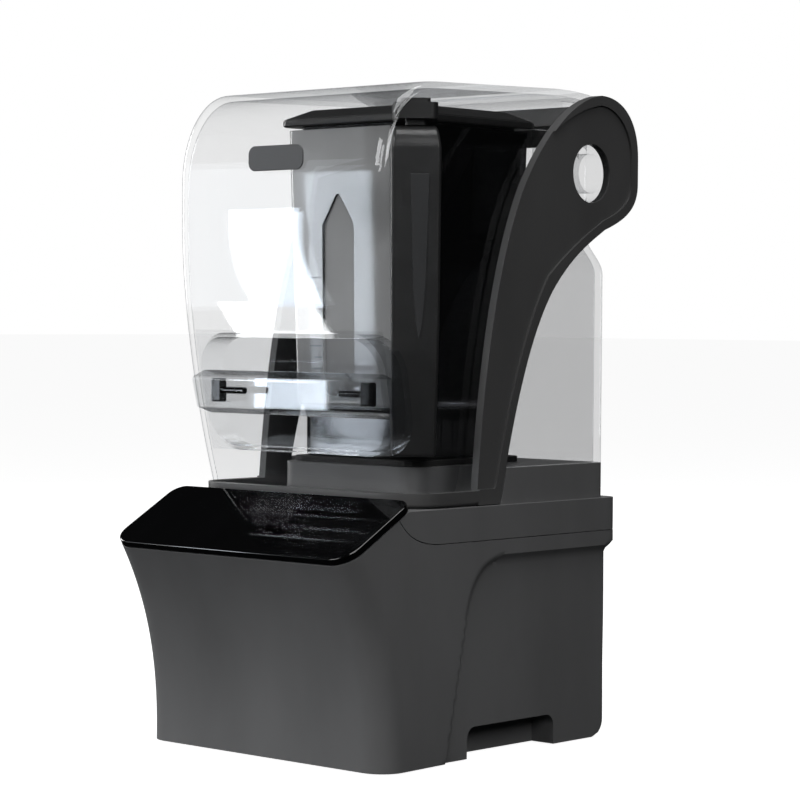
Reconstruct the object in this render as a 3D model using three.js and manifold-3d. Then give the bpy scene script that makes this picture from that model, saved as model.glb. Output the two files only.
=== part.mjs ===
// A quiet commercial blender: a motor base with a sloped touch panel, a square jug with a corner
// handle, a fixed clear rear shell and a clear hood that swings up and back on two side arms.
// Millimetres. +X is the object's right, -Y is its front and +Z is up. Z = 0 is the feet's underside.

import * as THREE from 'three';
import { mergeVertices } from 'three/addons/utils/BufferGeometryUtils.js';
import Module from 'manifold-3d';

const wasm = await Module();
wasm.setup();

// ---- Driving dimensions ----------------------------------------------------------------------

const GAP = 0.3; // clearance between pieces that touch
const WALL = 3.2; // moulded casing wall
const CLEAR_WALL = 4; // clear cover wall

const FOOT_RADIUS = 11;
const BASE_BOTTOM = 1.2; // underside of the casing
const SEAM_Z = 148; // joint between the lower and upper casings
const LEDGE_Z = 171.3; // ledge that the hood's rail rests on
const PLATFORM_Z = 196; // raised top of the upper casing
const BODY_HALF_W = 111.4;
const FRONT_HALF_W = 114.6;
const FRONT_Y = -119.6; // front face at the bottom
const FRONT_FLARE = 35.8; // how far the front face leans out at the panel
const REAR_Y = 121.3;
const LEDGE_REAR_Y = 131.5;
const RECESS_X = 107.6; // floor of the side recesses
const PLATFORM_HALF_W = 106.7;
const PLATFORM_REAR_Y = 121;
const PLATFORM_CORNER_R = 10;
const STEP_HALF_W = 64; // raised step under the jug's front
const STEP_FRONT_Y = -38;
const PLATFORM_FRONT_Y = 4.6; // at the ledge; the face slants back with the hood's arms
const PLATFORM_SLANT = 6.1; // how far back it has moved at the platform's top

const PANEL_FRONT = new THREE.Vector2(-155.2, 143); // top surface's front edge, as Y and Z
const PANEL_BACK = new THREE.Vector2(-91.2, 178.8);
const PANEL_HALF_W = 112.2;
const PANEL_THICK = 5;

const AXIS_Y = 26.5; // the motor's and jug's common vertical axis
const SOCKET_HOLE_R = 26;

const JUG_BOTTOM = 200.3;
const JUG_SHOULDER = 235; // where the collar meets the body
const JUG_TOP = 430;
const JUG_HALF_TOP = 62.4;
const JUG_HALF_BOTTOM = 58;
const COLLAR_HALF = 53;
const JUG_WALL = 3.6;
const CHAMFER_R = 72; // distance from the axis to the chamfered corner face

const LID_HALF = 65.7;
const LID_Z = 432.4; // underside of the lid's flange
const LID_TOP = 444.5;

const PIVOT = new THREE.Vector2(103.6, 400.8); // hood hinge axis, as Y and Z
const PIVOT_HOLE_R = 20.8; // in the arms
const PIVOT_BORE_R = 14; // in the rear shell's bosses, which the arms turn on
const HOOD_HALF_W = 98.5;
const HOOD_CORNER_R = 9; // upright front corners
const HOOD_TOP_FRONT_Z = 455;
const HOOD_TOP_REAR_Z = 458.6;
const HOOD_FRONT_Y = -106; // foremost point of the hood
const HOOD_FOOT_Z = 173;
const HOOD_LEAN = 27.2; // how far the front wall leans back by HOOD_LEAN_HEIGHT below HOOD_LEAN_Z
const HOOD_LEAN_Z = 365;
const HOOD_LEAN_HEIGHT = 170;
const HOOD_ROUND_Z = 390; // where the rounded top front edge begins
const HOOD_ROUND_DEPTH = 47;
const ARM_OUTER_X = 106.7;
const HEAD_REAR_Y = 154.8; // rear of the arms' round heads
const RAIL_FRONT_Y = -85;
const RAIL_CORNER_R = 32;
const RAIL_CHAMFER = 3; // lets the rail swing clear of the control panel's back edge
const RAIL_TOP = 181.5;

const SHELL_TOP = 430; // rear shell's upper edge
const SHELL_NECK_HALF_W = 91.5; // half width where it passes between the arms
const SHELL_NECK_Z = 334; // where the narrowing begins

// ---- Materials -------------------------------------------------------------------------------

const material = (color, roughness, metalness = 0, opacity = 1) => new THREE.MeshStandardMaterial({
  color, roughness, metalness, opacity, transparent: opacity < 1,
});

const CASING = material(0x4a4b4d, 0.5);
const FRAME = material(0x2f3030, 0.45);
const BLACK_GLOSS = material(0x050505, 0.08);
const CLEAR = material(0xe8ecef, 0.05, 0, 0.3);
const SMOKED = material(0x50555a, 0.06, 0, 0.5);
const LID_BLACK = material(0x2b2b2b, 0.5);
const HANDLE_BLACK = material(0x292929, 0.4);
const RUBBER = material(0x1c1c1c, 0.85);
const BADGE_GREY = material(0x565759, 0.4);
const STEEL = material(0xb9bcbe, 0.25, 1);
const LAMINATION = material(0x6d6f70, 0.5, 1);
const COPPER = material(0xa8622c, 0.4, 1);
const BOARD_GREEN = material(0x1f5a38, 0.6);
const NYLON = material(0x8b8d8c, 0.55);

// ---- Solid helpers ---------------------------------------------------------------------------

function toManifold(geometry) {
  let welded = geometry.clone();
  welded.deleteAttribute('normal');
  welded.deleteAttribute('uv');
  welded = mergeVertices(welded, 1e-4);
  const mesh = new wasm.Mesh({
    numProp: 3,
    vertProperties: new Float32Array(welded.attributes.position.array),
    triVerts: new Uint32Array(welded.index.array),
  });
  mesh.merge();
  return new wasm.Manifold(mesh);
}

function toGeometry(manifold) {
  const mesh = manifold.getMesh();
  const geometry = new THREE.BufferGeometry();
  geometry.setAttribute('position', new THREE.BufferAttribute(mesh.vertProperties, 3));
  geometry.setIndex(new THREE.BufferAttribute(mesh.triVerts, 1));
  geometry.computeVertexNormals();
  return geometry;
}

// An extrusion of an outline drawn in plan, standing from z0 to z1.
function prism(shape, z0, z1, curveSegments = 6) {
  const geometry = new THREE.ExtrudeGeometry(shape, { depth: z1 - z0, bevelEnabled: false, curveSegments });
  return toManifold(geometry.translate(0, 0, z0));
}

// An extrusion along X of an outline drawn as (Y, Z), from x0 to x1.
function slab(shape, x0, x1, curveSegments = 8) {
  const geometry = new THREE.ExtrudeGeometry(shape, { depth: x1 - x0, bevelEnabled: false, curveSegments });
  const axes = new THREE.Matrix4().set(0, 0, 1, x0, 1, 0, 0, 0, 0, 1, 0, 0, 0, 0, 0, 1);
  return toManifold(geometry.applyMatrix4(axes));
}

// An extrusion along +Y of an outline drawn as (X, Z), from y0 to y1.
function frontPlate(shape, y0, y1, curveSegments = 6) {
  const geometry = new THREE.ExtrudeGeometry(shape, { depth: y1 - y0, bevelEnabled: false, curveSegments });
  const axes = new THREE.Matrix4().set(1, 0, 0, 0, 0, 0, -1, y1, 0, 1, 0, 0, 0, 0, 0, 1);
  return toManifold(geometry.applyMatrix4(axes));
}

function box(x0, x1, y0, y1, z0, z1) {
  const geometry = new THREE.BoxGeometry(x1 - x0, y1 - y0, z1 - z0);
  return toManifold(geometry.translate((x0 + x1) / 2, (y0 + y1) / 2, (z0 + z1) / 2));
}

// A turned solid about the vertical axis through (x, y); profile is a closed list of [radius, z].
function turned(profile, x, y, segments = 28) {
  const points = profile.map(([radius, z]) => new THREE.Vector2(radius, z));
  points.push(points[0].clone());
  const geometry = new THREE.LatheGeometry(points, segments).rotateX(Math.PI / 2);
  return toManifold(geometry.translate(x, y, 0));
}

function disc(radius, z0, z1, x, y, segments = 28) {
  const geometry = new THREE.CylinderGeometry(radius, radius, z1 - z0, segments).rotateX(Math.PI / 2);
  return toManifold(geometry.translate(x, y, (z0 + z1) / 2));
}

function ring(outer, inner, z0, z1, x, y, segments = 28) {
  return disc(outer, z0, z1, x, y, segments).subtract(disc(inner, z0 - 1, z1 + 1, x, y, segments));
}

// A cylinder along X, used at the hinge.
function crossDisc(radius, x0, x1, y, z, segments = 32) {
  const geometry = new THREE.CylinderGeometry(radius, radius, x1 - x0, segments).rotateZ(Math.PI / 2);
  return toManifold(geometry.translate((x0 + x1) / 2, y, z));
}

// The points of a polygon whose corners are rounded; every corner gives steps + 1 points.
function roundedPolygon(corners, radii, steps = 4) {
  const points = [];
  corners.forEach((corner, i) => {
    const before = corners[(i + corners.length - 1) % corners.length];
    const after = corners[(i + 1) % corners.length];
    const inward = before.clone().sub(corner).normalize();
    const outward = after.clone().sub(corner).normalize();
    const half = Math.acos(THREE.MathUtils.clamp(inward.dot(outward), -1, 1)) / 2;
    const reach = radii[i] / Math.tan(half);
    const toCentre = inward.clone().add(outward).normalize();
    const centre = toCentre.multiplyScalar(radii[i] / Math.sin(half)).add(corner);
    const start = inward.clone().multiplyScalar(reach).add(corner).sub(centre);
    const end = outward.clone().multiplyScalar(reach).add(corner).sub(centre);
    const turn = Math.atan2(start.x * end.y - start.y * end.x, start.dot(end));
    for (let step = 0; step <= steps; step += 1) {
      points.push(start.clone().rotateAround(new THREE.Vector2(), (turn * step) / steps).add(centre));
    }
  });
  return points;
}

const vectors = (pairs) => pairs.map(([x, y]) => new THREE.Vector2(x, y));
const polygon = (pairs) => new THREE.Shape(vectors(pairs));

function roundedRectangle(x0, x1, y0, y1, radius, steps = 4) {
  const corners = vectors([[x0, y0], [x1, y0], [x1, y1], [x0, y1]]);
  return new THREE.Shape(roundedPolygon(corners, [radius, radius, radius, radius], steps));
}

// A closed body through stacked outlines; each level is { z, points } with equal point counts.
function loft(levels) {
  const count = levels[0].points.length;
  const positions = levels.flatMap(({ z, points }) => points.flatMap((point) => [point.x, point.y, z]));
  const indices = [];
  for (let level = 0; level < levels.length - 1; level += 1) {
    for (let i = 0; i < count; i += 1) {
      const next = (i + 1) % count;
      const low = level * count;
      const high = low + count;
      indices.push(low + i, low + next, high + next, low + i, high + next, high + i);
    }
  }
  const last = (levels.length - 1) * count;
  for (const [a, b, c] of THREE.ShapeUtils.triangulateShape(levels[0].points, [])) {
    indices.push(a, c, b);
  }
  for (const [a, b, c] of THREE.ShapeUtils.triangulateShape(levels[levels.length - 1].points, [])) {
    indices.push(last + a, last + b, last + c);
  }
  const geometry = new THREE.BufferGeometry();
  geometry.setAttribute('position', new THREE.Float32BufferAttribute(positions, 3));
  geometry.setIndex(indices);
  return toManifold(geometry);
}

const blender = new THREE.Group();

function add(name, manifold, look) {
  const mesh = new THREE.Mesh(toGeometry(manifold), look);
  mesh.name = name;
  blender.add(mesh);
  return mesh;
}

// ---- Base casing -----------------------------------------------------------------------------

const panelSlope = Math.atan2(PANEL_BACK.y - PANEL_FRONT.y, PANEL_BACK.x - PANEL_FRONT.x);
const panelNormal = new THREE.Vector2(-Math.sin(panelSlope), Math.cos(panelSlope));

function frontFaceY(z) {
  const height = THREE.MathUtils.clamp(z / PANEL_FRONT.y, 0, 1.02);
  return FRONT_Y - FRONT_FLARE * height ** 2.4;
}

function rearFaceY(z) {
  const rise = THREE.MathUtils.clamp((z - 134) / 6, 0, 1);
  return THREE.MathUtils.lerp(REAR_Y, LEDGE_REAR_Y, rise);
}

// The casing's outline in plan at height z, drawn in by inset.
function casingOutline(z, inset) {
  const front = frontFaceY(z) + inset;
  const rear = rearFaceY(z) - inset;
  const frontHalf = FRONT_HALF_W - 2 * (z / PANEL_FRONT.y) - inset;
  const bodyHalf = BODY_HALF_W - inset;
  const waist = front + 62;
  const corners = vectors([
    [-frontHalf, front], [frontHalf, front], [bodyHalf, waist],
    [bodyHalf, rear], [-bodyHalf, rear], [-bodyHalf, waist],
  ]);
  return roundedPolygon(corners, [18, 18, 60, 13, 13, 60], 4);
}

const CASING_LEVELS = [BASE_BOTTOM + 4, 35, 62, 84, 102, 118, 134, 140, SEAM_Z, LEDGE_Z];

function casingSolid(inset, bottom, top) {
  const levels = CASING_LEVELS.filter((z) => z > bottom && z < top);
  const outlines = [bottom, ...levels, top].map((z) => ({ z, points: casingOutline(z, inset) }));
  return loft(outlines);
}

// Everything above the plane that lies depth below the control panel's top surface.
function abovePanelBed(depth) {
  const drop = panelNormal.clone().multiplyScalar(-depth);
  const reach = new THREE.Vector2(Math.cos(panelSlope), Math.sin(panelSlope)).multiplyScalar(80);
  const low = PANEL_FRONT.clone().sub(reach).add(drop);
  const high = PANEL_BACK.clone().add(drop);
  return slab(polygon([[low.x, low.y], [high.x, high.y], [high.x, 400], [low.x, 400]]), -200, 200);
}

// The region above the casing seam, which rises at the front to meet the control panel.
function aboveSeam(shiftY, shiftZ) {
  const shape = new THREE.Shape();
  shape.moveTo(200, SEAM_Z);
  shape.lineTo(200, 400);
  shape.lineTo(-106, 400);
  shape.lineTo(-106, 170);
  shape.bezierCurveTo(-96, 154, -84, SEAM_Z, -58, SEAM_Z);
  return slab(shape, -200, 200).translate([0, shiftY, shiftZ]);
}

function sideRecess() {
  const shape = new THREE.Shape();
  shape.moveTo(160, -5);
  shape.lineTo(160, 136.5);
  shape.lineTo(4, 136.5);
  shape.bezierCurveTo(-16, 136.5, -32, 122, -35.5, 92);
  shape.lineTo(-50, 23);
  shape.lineTo(-57, -5);
  const right = slab(shape, RECESS_X, 130);
  return right.add(right.mirror([1, 0, 0]));
}

const NOTCH = { front: -30, rear: 62, top: 22.5, depthX: 88 };

function handNotch(grow) {
  const outline = roundedPolygon(vectors([
    [NOTCH.front - grow, -10], [NOTCH.rear + grow, -10],
    [NOTCH.rear + grow, NOTCH.top + grow], [NOTCH.front - grow, NOTCH.top + grow],
  ]), [2, 2, 7, 7]);
  const right = slab(new THREE.Shape(outline), NOTCH.depthX - grow, 130);
  return right.add(right.mirror([1, 0, 0]));
}

function platform(inset, bottom, top) {
  const rear = roundedPolygon(vectors([
    [-PLATFORM_HALF_W + inset, PLATFORM_FRONT_Y + inset], [PLATFORM_HALF_W - inset, PLATFORM_FRONT_Y + inset],
    [PLATFORM_HALF_W - inset, PLATFORM_REAR_Y - inset], [-PLATFORM_HALF_W + inset, PLATFORM_REAR_Y - inset],
  ]), [2, 2, PLATFORM_CORNER_R, PLATFORM_CORNER_R]);
  const front = roundedRectangle(-STEP_HALF_W + inset, STEP_HALF_W - inset, STEP_FRONT_Y + inset, 40, 14);
  const low = PLATFORM_FRONT_Y + inset;
  const slant = slab(polygon([
    [low - 80, LEDGE_Z - 60], [low, LEDGE_Z - 60], [low, LEDGE_Z],
    [low + PLATFORM_SLANT, PLATFORM_Z], [low + PLATFORM_SLANT, PLATFORM_Z + 60], [low - 80, PLATFORM_Z + 60],
  ]), -200, 200);
  return prism(new THREE.Shape(rear), bottom, top).subtract(slant).add(prism(front, bottom, top));
}

function buildCasings() {
  const bed = abovePanelBed(PANEL_THICK + GAP);
  const bedRoof = abovePanelBed(PANEL_THICK + GAP + WALL);
  const notch = handNotch(0);
  let outer = casingSolid(0, BASE_BOTTOM, LEDGE_Z).subtract(bed).subtract(sideRecess());
  const cavity = casingSolid(WALL, -5, LEDGE_Z - WALL).subtract(bedRoof)
    .intersect(box(WALL - RECESS_X, RECESS_X - WALL, -200, 200, -5, 200))
    .subtract(handNotch(WALL));
  outer = outer.subtract(notch);

  const lower = outer.subtract(cavity).subtract(aboveSeam(0, 0));
  add('lower_housing', lower, CASING);

  const upperShell = outer.intersect(aboveSeam(0.2, GAP)).add(platform(0, LEDGE_Z - 1, PLATFORM_Z));
  const upper = upperShell
    .subtract(cavity)
    .subtract(platform(WALL, 120, PLATFORM_Z - WALL))
    .subtract(disc(SOCKET_HOLE_R, 150, 220, 0, AXIS_Y, 32));
  add('upper_housing', upper, CASING);
}

// ---- Base fittings ---------------------------------------------------------------------------

function buildBottomCover() {
  const inset = WALL + 2.5;
  const levels = [BASE_BOTTOM, BASE_BOTTOM + 3].map((z) => ({ z, points: casingOutline(z, inset) }));
  const cover = loft(levels)
    .intersect(box(WALL + 0.6 - RECESS_X, RECESS_X - WALL - 0.6, -200, 200, 0, 20))
    .subtract(handNotch(WALL + GAP));
  const slots = [];
  for (let row = 0; row < 5; row += 1) {
    slots.push(box(-26, 26, AXIS_Y - 22 + row * 11, AXIS_Y - 18 + row * 11, 0, 20));
  }
  const screwHoles = Object.values(SCREW_PLACES).map(([x, y]) => coverScrew(x, y, GAP));
  const cuts = [...slots, ...screwHoles];
  add('bottom_cover', cuts.reduce((solid, cut) => solid.subtract(cut), cover), CASING);
}

// The four corners of a rectangle in plan, by name.
const fourCorners = (halfX, frontY, rearY) => ({
  front_left: [-halfX, frontY],
  front_right: [halfX, frontY],
  rear_left: [-halfX, rearY],
  rear_right: [halfX, rearY],
});

function buildFeet() {
  for (const [place, [x, y]] of Object.entries(fourCorners(82, -88, 96))) {
    const foot = turned([
      [0, 0], [FOOT_RADIUS - 0.4, 0], [FOOT_RADIUS, 0.4],
      [FOOT_RADIUS, BASE_BOTTOM - GAP], [0, BASE_BOTTOM - GAP],
    ], x, y, 20);
    add(`foot_${place}`, foot, RUBBER);
  }
}

// Countersunk screws that hold the bottom cover to the lower casing's bosses.
const SCREW_PLACES = fourCorners(60, -60, 96);
const SCREW = { headRadius: 4, shankRadius: 1.8, recess: 0.4, headHeight: 2.2, length: 14 };

function coverScrew(x, y, grow) {
  const head = BASE_BOTTOM + SCREW.recess - grow;
  const tip = BASE_BOTTOM + SCREW.length;
  return turned([
    [0, head], [SCREW.headRadius + grow, head],
    [SCREW.shankRadius + grow, BASE_BOTTOM + SCREW.recess + SCREW.headHeight],
    [SCREW.shankRadius + grow, tip], [0, tip],
  ], x, y, 16);
}

function buildCoverScrews() {
  for (const [place, [x, y]] of Object.entries(SCREW_PLACES)) {
    add(`cover_screw_${place}`, coverScrew(x, y, 0), STEEL);
  }
}

function buildControlPanel() {
  const length = PANEL_FRONT.distanceTo(PANEL_BACK);
  const bevel = 0.8;
  const corners = vectors([
    [-PANEL_HALF_W + bevel, bevel], [PANEL_HALF_W - bevel, bevel],
    [PANEL_HALF_W - bevel, length - bevel], [-PANEL_HALF_W + bevel, length - bevel],
  ]);
  const outline = new THREE.Shape(roundedPolygon(corners, [17, 17, 11, 11], 5));
  const geometry = new THREE.ExtrudeGeometry(outline, {
    depth: PANEL_THICK - 2 * bevel, bevelThickness: bevel, bevelSize: bevel, bevelSegments: 1,
  });
  const panel = new THREE.Mesh(geometry.translate(0, 0, bevel - PANEL_THICK), BLACK_GLOSS);
  panel.name = 'control_panel';
  panel.rotation.x = panelSlope;
  panel.position.set(0, PANEL_FRONT.x, PANEL_FRONT.y);
  blender.add(panel);

  const boardGeometry = new THREE.BoxGeometry(150, 46, 1.6);
  const board = new THREE.Mesh(boardGeometry, BOARD_GREEN);
  board.name = 'touch_board';
  const depth = PANEL_THICK + GAP + WALL + 3;
  const middle = PANEL_FRONT.clone().lerp(PANEL_BACK, 0.48).addScaledVector(panelNormal, -depth);
  board.rotation.x = panelSlope;
  board.position.set(0, middle.x, middle.y);
  blender.add(board);
}

const SWITCH = { x: 62, z: 92, halfW: 7.5, halfH: 11 };
const INLET = { x: -62, z: 60, halfW: 15, halfH: 11.5 };

// The rear openings of the lower casing are cut through its back wall for the switch and the inlet.
function rearCut(part, grow) {
  return box(
    part.x - part.halfW - grow, part.x + part.halfW + grow, 100, 140,
    part.z - part.halfH - grow, part.z + part.halfH + grow,
  );
}

function buildRearFittings() {
  const inletBody = rearCut(INLET, 0).intersect(box(-200, 200, 100, REAR_Y - 1, 0, 200));
  const flange = box(
    INLET.x - INLET.halfW - 4, INLET.x + INLET.halfW + 4, REAR_Y + GAP, REAR_Y + 2.3,
    INLET.z - INLET.halfH - 4, INLET.z + INLET.halfH + 4,
  );
  const neck = rearCut(INLET, 0).intersect(box(-200, 200, REAR_Y - 2, REAR_Y + 1, 0, 200));
  const cavity = box(
    INLET.x - INLET.halfW + 3, INLET.x + INLET.halfW - 3, REAR_Y - 14, REAR_Y + 5,
    INLET.z - INLET.halfH + 3, INLET.z + INLET.halfH - 3,
  );
  add('inlet_socket', inletBody.add(flange).add(neck).subtract(cavity), RUBBER);

  const shell = box(
    SWITCH.x - SWITCH.halfW, SWITCH.x + SWITCH.halfW, REAR_Y - 18, REAR_Y + 1,
    SWITCH.z - SWITCH.halfH, SWITCH.z + SWITCH.halfH,
  );
  const bezel = box(
    SWITCH.x - SWITCH.halfW - 2.5, SWITCH.x + SWITCH.halfW + 2.5, REAR_Y + GAP, REAR_Y + 2,
    SWITCH.z - SWITCH.halfH - 2.5, SWITCH.z + SWITCH.halfH + 2.5,
  );
  const pocket = box(
    SWITCH.x - SWITCH.halfW + 1.5, SWITCH.x + SWITCH.halfW - 1.5, REAR_Y - 12, REAR_Y + 5,
    SWITCH.z - SWITCH.halfH + 1.5, SWITCH.z + SWITCH.halfH - 1.5,
  );
  add('switch_frame', shell.add(bezel).subtract(pocket), RUBBER);

  const rocker = new THREE.Shape();
  rocker.moveTo(REAR_Y - 6, SWITCH.z - 6.5);
  rocker.lineTo(REAR_Y + 3.6, SWITCH.z - 8);
  rocker.quadraticCurveTo(REAR_Y + 1, SWITCH.z, REAR_Y + 3.6, SWITCH.z + 8);
  rocker.lineTo(REAR_Y - 6, SWITCH.z + 6.5);
  add('power_rocker', slab(rocker, SWITCH.x - 5.5, SWITCH.x + 5.5, 4), BLACK_GLOSS);
}

function cutRearOpenings() {
  const housing = blender.getObjectByName('lower_housing');
  const cut = toManifold(housing.geometry).subtract(rearCut(INLET, GAP)).subtract(rearCut(SWITCH, GAP));
  housing.geometry = toGeometry(cut);
}

// ---- Motor -----------------------------------------------------------------------------------

const STATOR = { z0: 62, z1: 112, outer: 50, inner: 31 };

function buildMotor() {
  add('motor_stator', ring(STATOR.outer, STATOR.inner, STATOR.z0, STATOR.z1, 0, AXIS_Y, 36), LAMINATION);
  for (const [name, z0, z1] of [['field_coil_lower', 50, 61.7], ['field_coil_upper', 112.3, 124]]) {
    add(name, ring(45, 33, z0, z1, 0, AXIS_Y, 28), COPPER);
  }
  const bracketZ = { lower: [36, 46], upper: [128, 138] };
  for (const [place, [z0, z1]] of Object.entries(bracketZ)) {
    const bracket = ring(54, 11.3, z0, z1, 0, AXIS_Y, 32);
    add(`motor_bracket_${place}`, bracket, material(0x8e9092, 0.4, 1));
    add(`motor_bearing_${place}`, ring(11, 5.3, z0 + 1, z1 - 1, 0, AXIS_Y, 20), STEEL);
  }
  const shaft = turned([
    [0, 22], [5, 22], [5, 47], [29, STATOR.z0], [29, STATOR.z1 - 1],
    [19, STATOR.z1 + 0.5], [19, 122], [5, 124], [5, 178], [0, 178],
  ], 0, AXIS_Y, 28);
  add('motor_rotor', shaft, STEEL);

  for (const [side, x0] of [['left', -32.5], ['right', 19.4]]) {
    add(`carbon_brush_${side}`, box(x0, x0 + 13.1, AXIS_Y - 3.5, AXIS_Y + 3.5, 113, 120), RUBBER);
  }
  for (const [corner, [x, y]] of Object.entries(fourCorners(37, AXIS_Y - 37, AXIS_Y + 37))) {
    add(`motor_mount_${corner}`, disc(6, BASE_BOTTOM + 3 + GAP, bracketZ.lower[0] - GAP, x, y, 16), RUBBER);
  }

  const blades = [];
  for (let i = 0; i < 8; i += 1) {
    blades.push(box(9, 42, -1.2, 1.2, 16.5, 29.5).rotate([0, 0, (i * 360) / 8]));
  }
  const hub = ring(12, 5.3, 14, 31, 0, 0, 24).add(ring(44, 10, 14, 16.5, 0, 0, 32));
  const fan = blades.reduce((solid, blade) => solid.add(blade), hub).translate([0, AXIS_Y, 0]);
  add('cooling_fan', fan, NYLON);

  const socket = turned([
    [0, 178.3], [20, 178.3], [22, 181], [22, 198.5], [20.5, 199.8], [11, 199.8], [11, 187], [0, 187],
  ], 0, AXIS_Y, 24);
  add('drive_socket', socket, STEEL);

  add('power_board', box(-88, -60, -60, 40, 40, 41.8), BOARD_GREEN);
  add('board_capacitor', disc(9, 42.1, 74, -74, -12, 20), RUBBER);
}

function buildJugMat() {
  const mat = prism(roundedRectangle(-60, 60, AXIS_Y - 60, AXIS_Y + 60, 14), PLATFORM_Z + GAP, JUG_BOTTOM - GAP)
    .subtract(disc(SOCKET_HOLE_R + 1, 180, 220, 0, AXIS_Y, 32));
  add('jug_mat', mat, RUBBER);
}

// ---- Jug -------------------------------------------------------------------------------------

// A square outline about the jug's axis whose front right corner is cut off at distance cut.
function jugOutline(half, cut, radius = 9) {
  const reach = cut * Math.SQRT2 - half;
  const corners = vectors([
    [-half, AXIS_Y - half], [reach, AXIS_Y - half], [half, AXIS_Y - reach],
    [half, AXIS_Y + half], [-half, AXIS_Y + half],
  ]);
  return roundedPolygon(corners, [radius, radius * 0.7, radius * 0.7, radius, radius], 4);
}

function jugBody() {
  const outer = loft([
    { z: JUG_SHOULDER + GAP, points: jugOutline(JUG_HALF_BOTTOM, CHAMFER_R - 3) },
    { z: JUG_TOP, points: jugOutline(JUG_HALF_TOP, CHAMFER_R) },
  ]);
  const inner = loft([
    { z: JUG_SHOULDER + 5, points: jugOutline(JUG_HALF_BOTTOM - JUG_WALL - 4, CHAMFER_R - 7 - JUG_WALL, 12) },
    { z: JUG_SHOULDER + 18, points: jugOutline(JUG_HALF_BOTTOM - JUG_WALL, CHAMFER_R - 3 - JUG_WALL, 8) },
    { z: JUG_TOP + 1, points: jugOutline(JUG_HALF_TOP - JUG_WALL, CHAMFER_R - JUG_WALL, 8) },
  ]);
  return outer.subtract(inner).subtract(disc(16.3, 200, 260, 0, AXIS_Y));
}

const atDiagonal = (manifold) => manifold.rotate([0, 0, -45]).translate([0, AXIS_Y, 0]);

// The handle is drawn standing on the +X side of the jug's axis and turned to the front right corner.
const HANDLE = { inner: 94, outer: 109, halfW: 17, top: 428, bottom: 204 };

function handleSolid() {
  const profile = new THREE.Shape();
  profile.moveTo(CHAMFER_R + 0.6, HANDLE.top - 2);
  profile.lineTo(CHAMFER_R + 0.6, HANDLE.top - 30);
  profile.quadraticCurveTo(HANDLE.inner, HANDLE.top - 32, HANDLE.inner, HANDLE.top - 52);
  profile.lineTo(HANDLE.inner - 4, 268);
  profile.quadraticCurveTo(HANDLE.inner - 5, 246, CHAMFER_R + 0.6, 244);
  profile.lineTo(CHAMFER_R + 0.6, 237);
  profile.lineTo(66.5, 233);
  profile.lineTo(66.5, HANDLE.bottom);
  profile.lineTo(HANDLE.outer - 8, HANDLE.bottom);
  profile.lineTo(HANDLE.outer - 4, 250);
  profile.lineTo(HANDLE.outer, HANDLE.top - 14);
  profile.quadraticCurveTo(HANDLE.outer, HANDLE.top, HANDLE.outer - 14, HANDLE.top);
  profile.lineTo(CHAMFER_R + 0.6, HANDLE.top);
  const geometry = new THREE.ExtrudeGeometry(profile, {
    depth: 2 * HANDLE.halfW, bevelEnabled: false, curveSegments: 5,
  });
  geometry.rotateX(Math.PI / 2).translate(0, HANDLE.halfW, 0);
  return toManifold(geometry);
}

function buildJug() {
  add('jug_body', jugBody(), SMOKED);

  const collarOuter = loft([
    { z: JUG_BOTTOM, points: jugOutline(COLLAR_HALF, 62) },
    { z: JUG_SHOULDER, points: jugOutline(COLLAR_HALF, 62) },
  ]);
  const collarInner = loft([
    { z: JUG_BOTTOM - 1, points: jugOutline(COLLAR_HALF - 4, 58) },
    { z: JUG_SHOULDER - 6, points: jugOutline(COLLAR_HALF - 4, 58) },
  ]);
  const collar = collarOuter.subtract(collarInner).subtract(disc(24.3, 200, 260, 0, AXIS_Y));
  add('jug_collar', collar, LID_BLACK);

  add('jug_handle', atDiagonal(handleSolid()), HANDLE_BLACK);

  const inlay = new THREE.Shape();
  inlay.moveTo(-6.5, 395);
  inlay.lineTo(6.5, 395);
  inlay.lineTo(4.5, 325);
  inlay.quadraticCurveTo(3, 294, 0, 284);
  inlay.quadraticCurveTo(-3, 294, -4.5, 325);
  const geometry = new THREE.ExtrudeGeometry(inlay, { depth: 1.4, bevelEnabled: false, curveSegments: 4 });
  const lean = Math.atan2(4, HANDLE.top - 14 - 250);
  geometry.applyMatrix4(new THREE.Matrix4().set(0, 0, 1, 0, 1, 0, 0, 0, 0, 1, 0, 0, 0, 0, 0, 1));
  geometry.translate(0, 0, -328).rotateY(lean).translate(HANDLE.outer - 0.9, 0, 328);
  add('handle_grip', atDiagonal(toManifold(geometry)), RUBBER);
}

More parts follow.
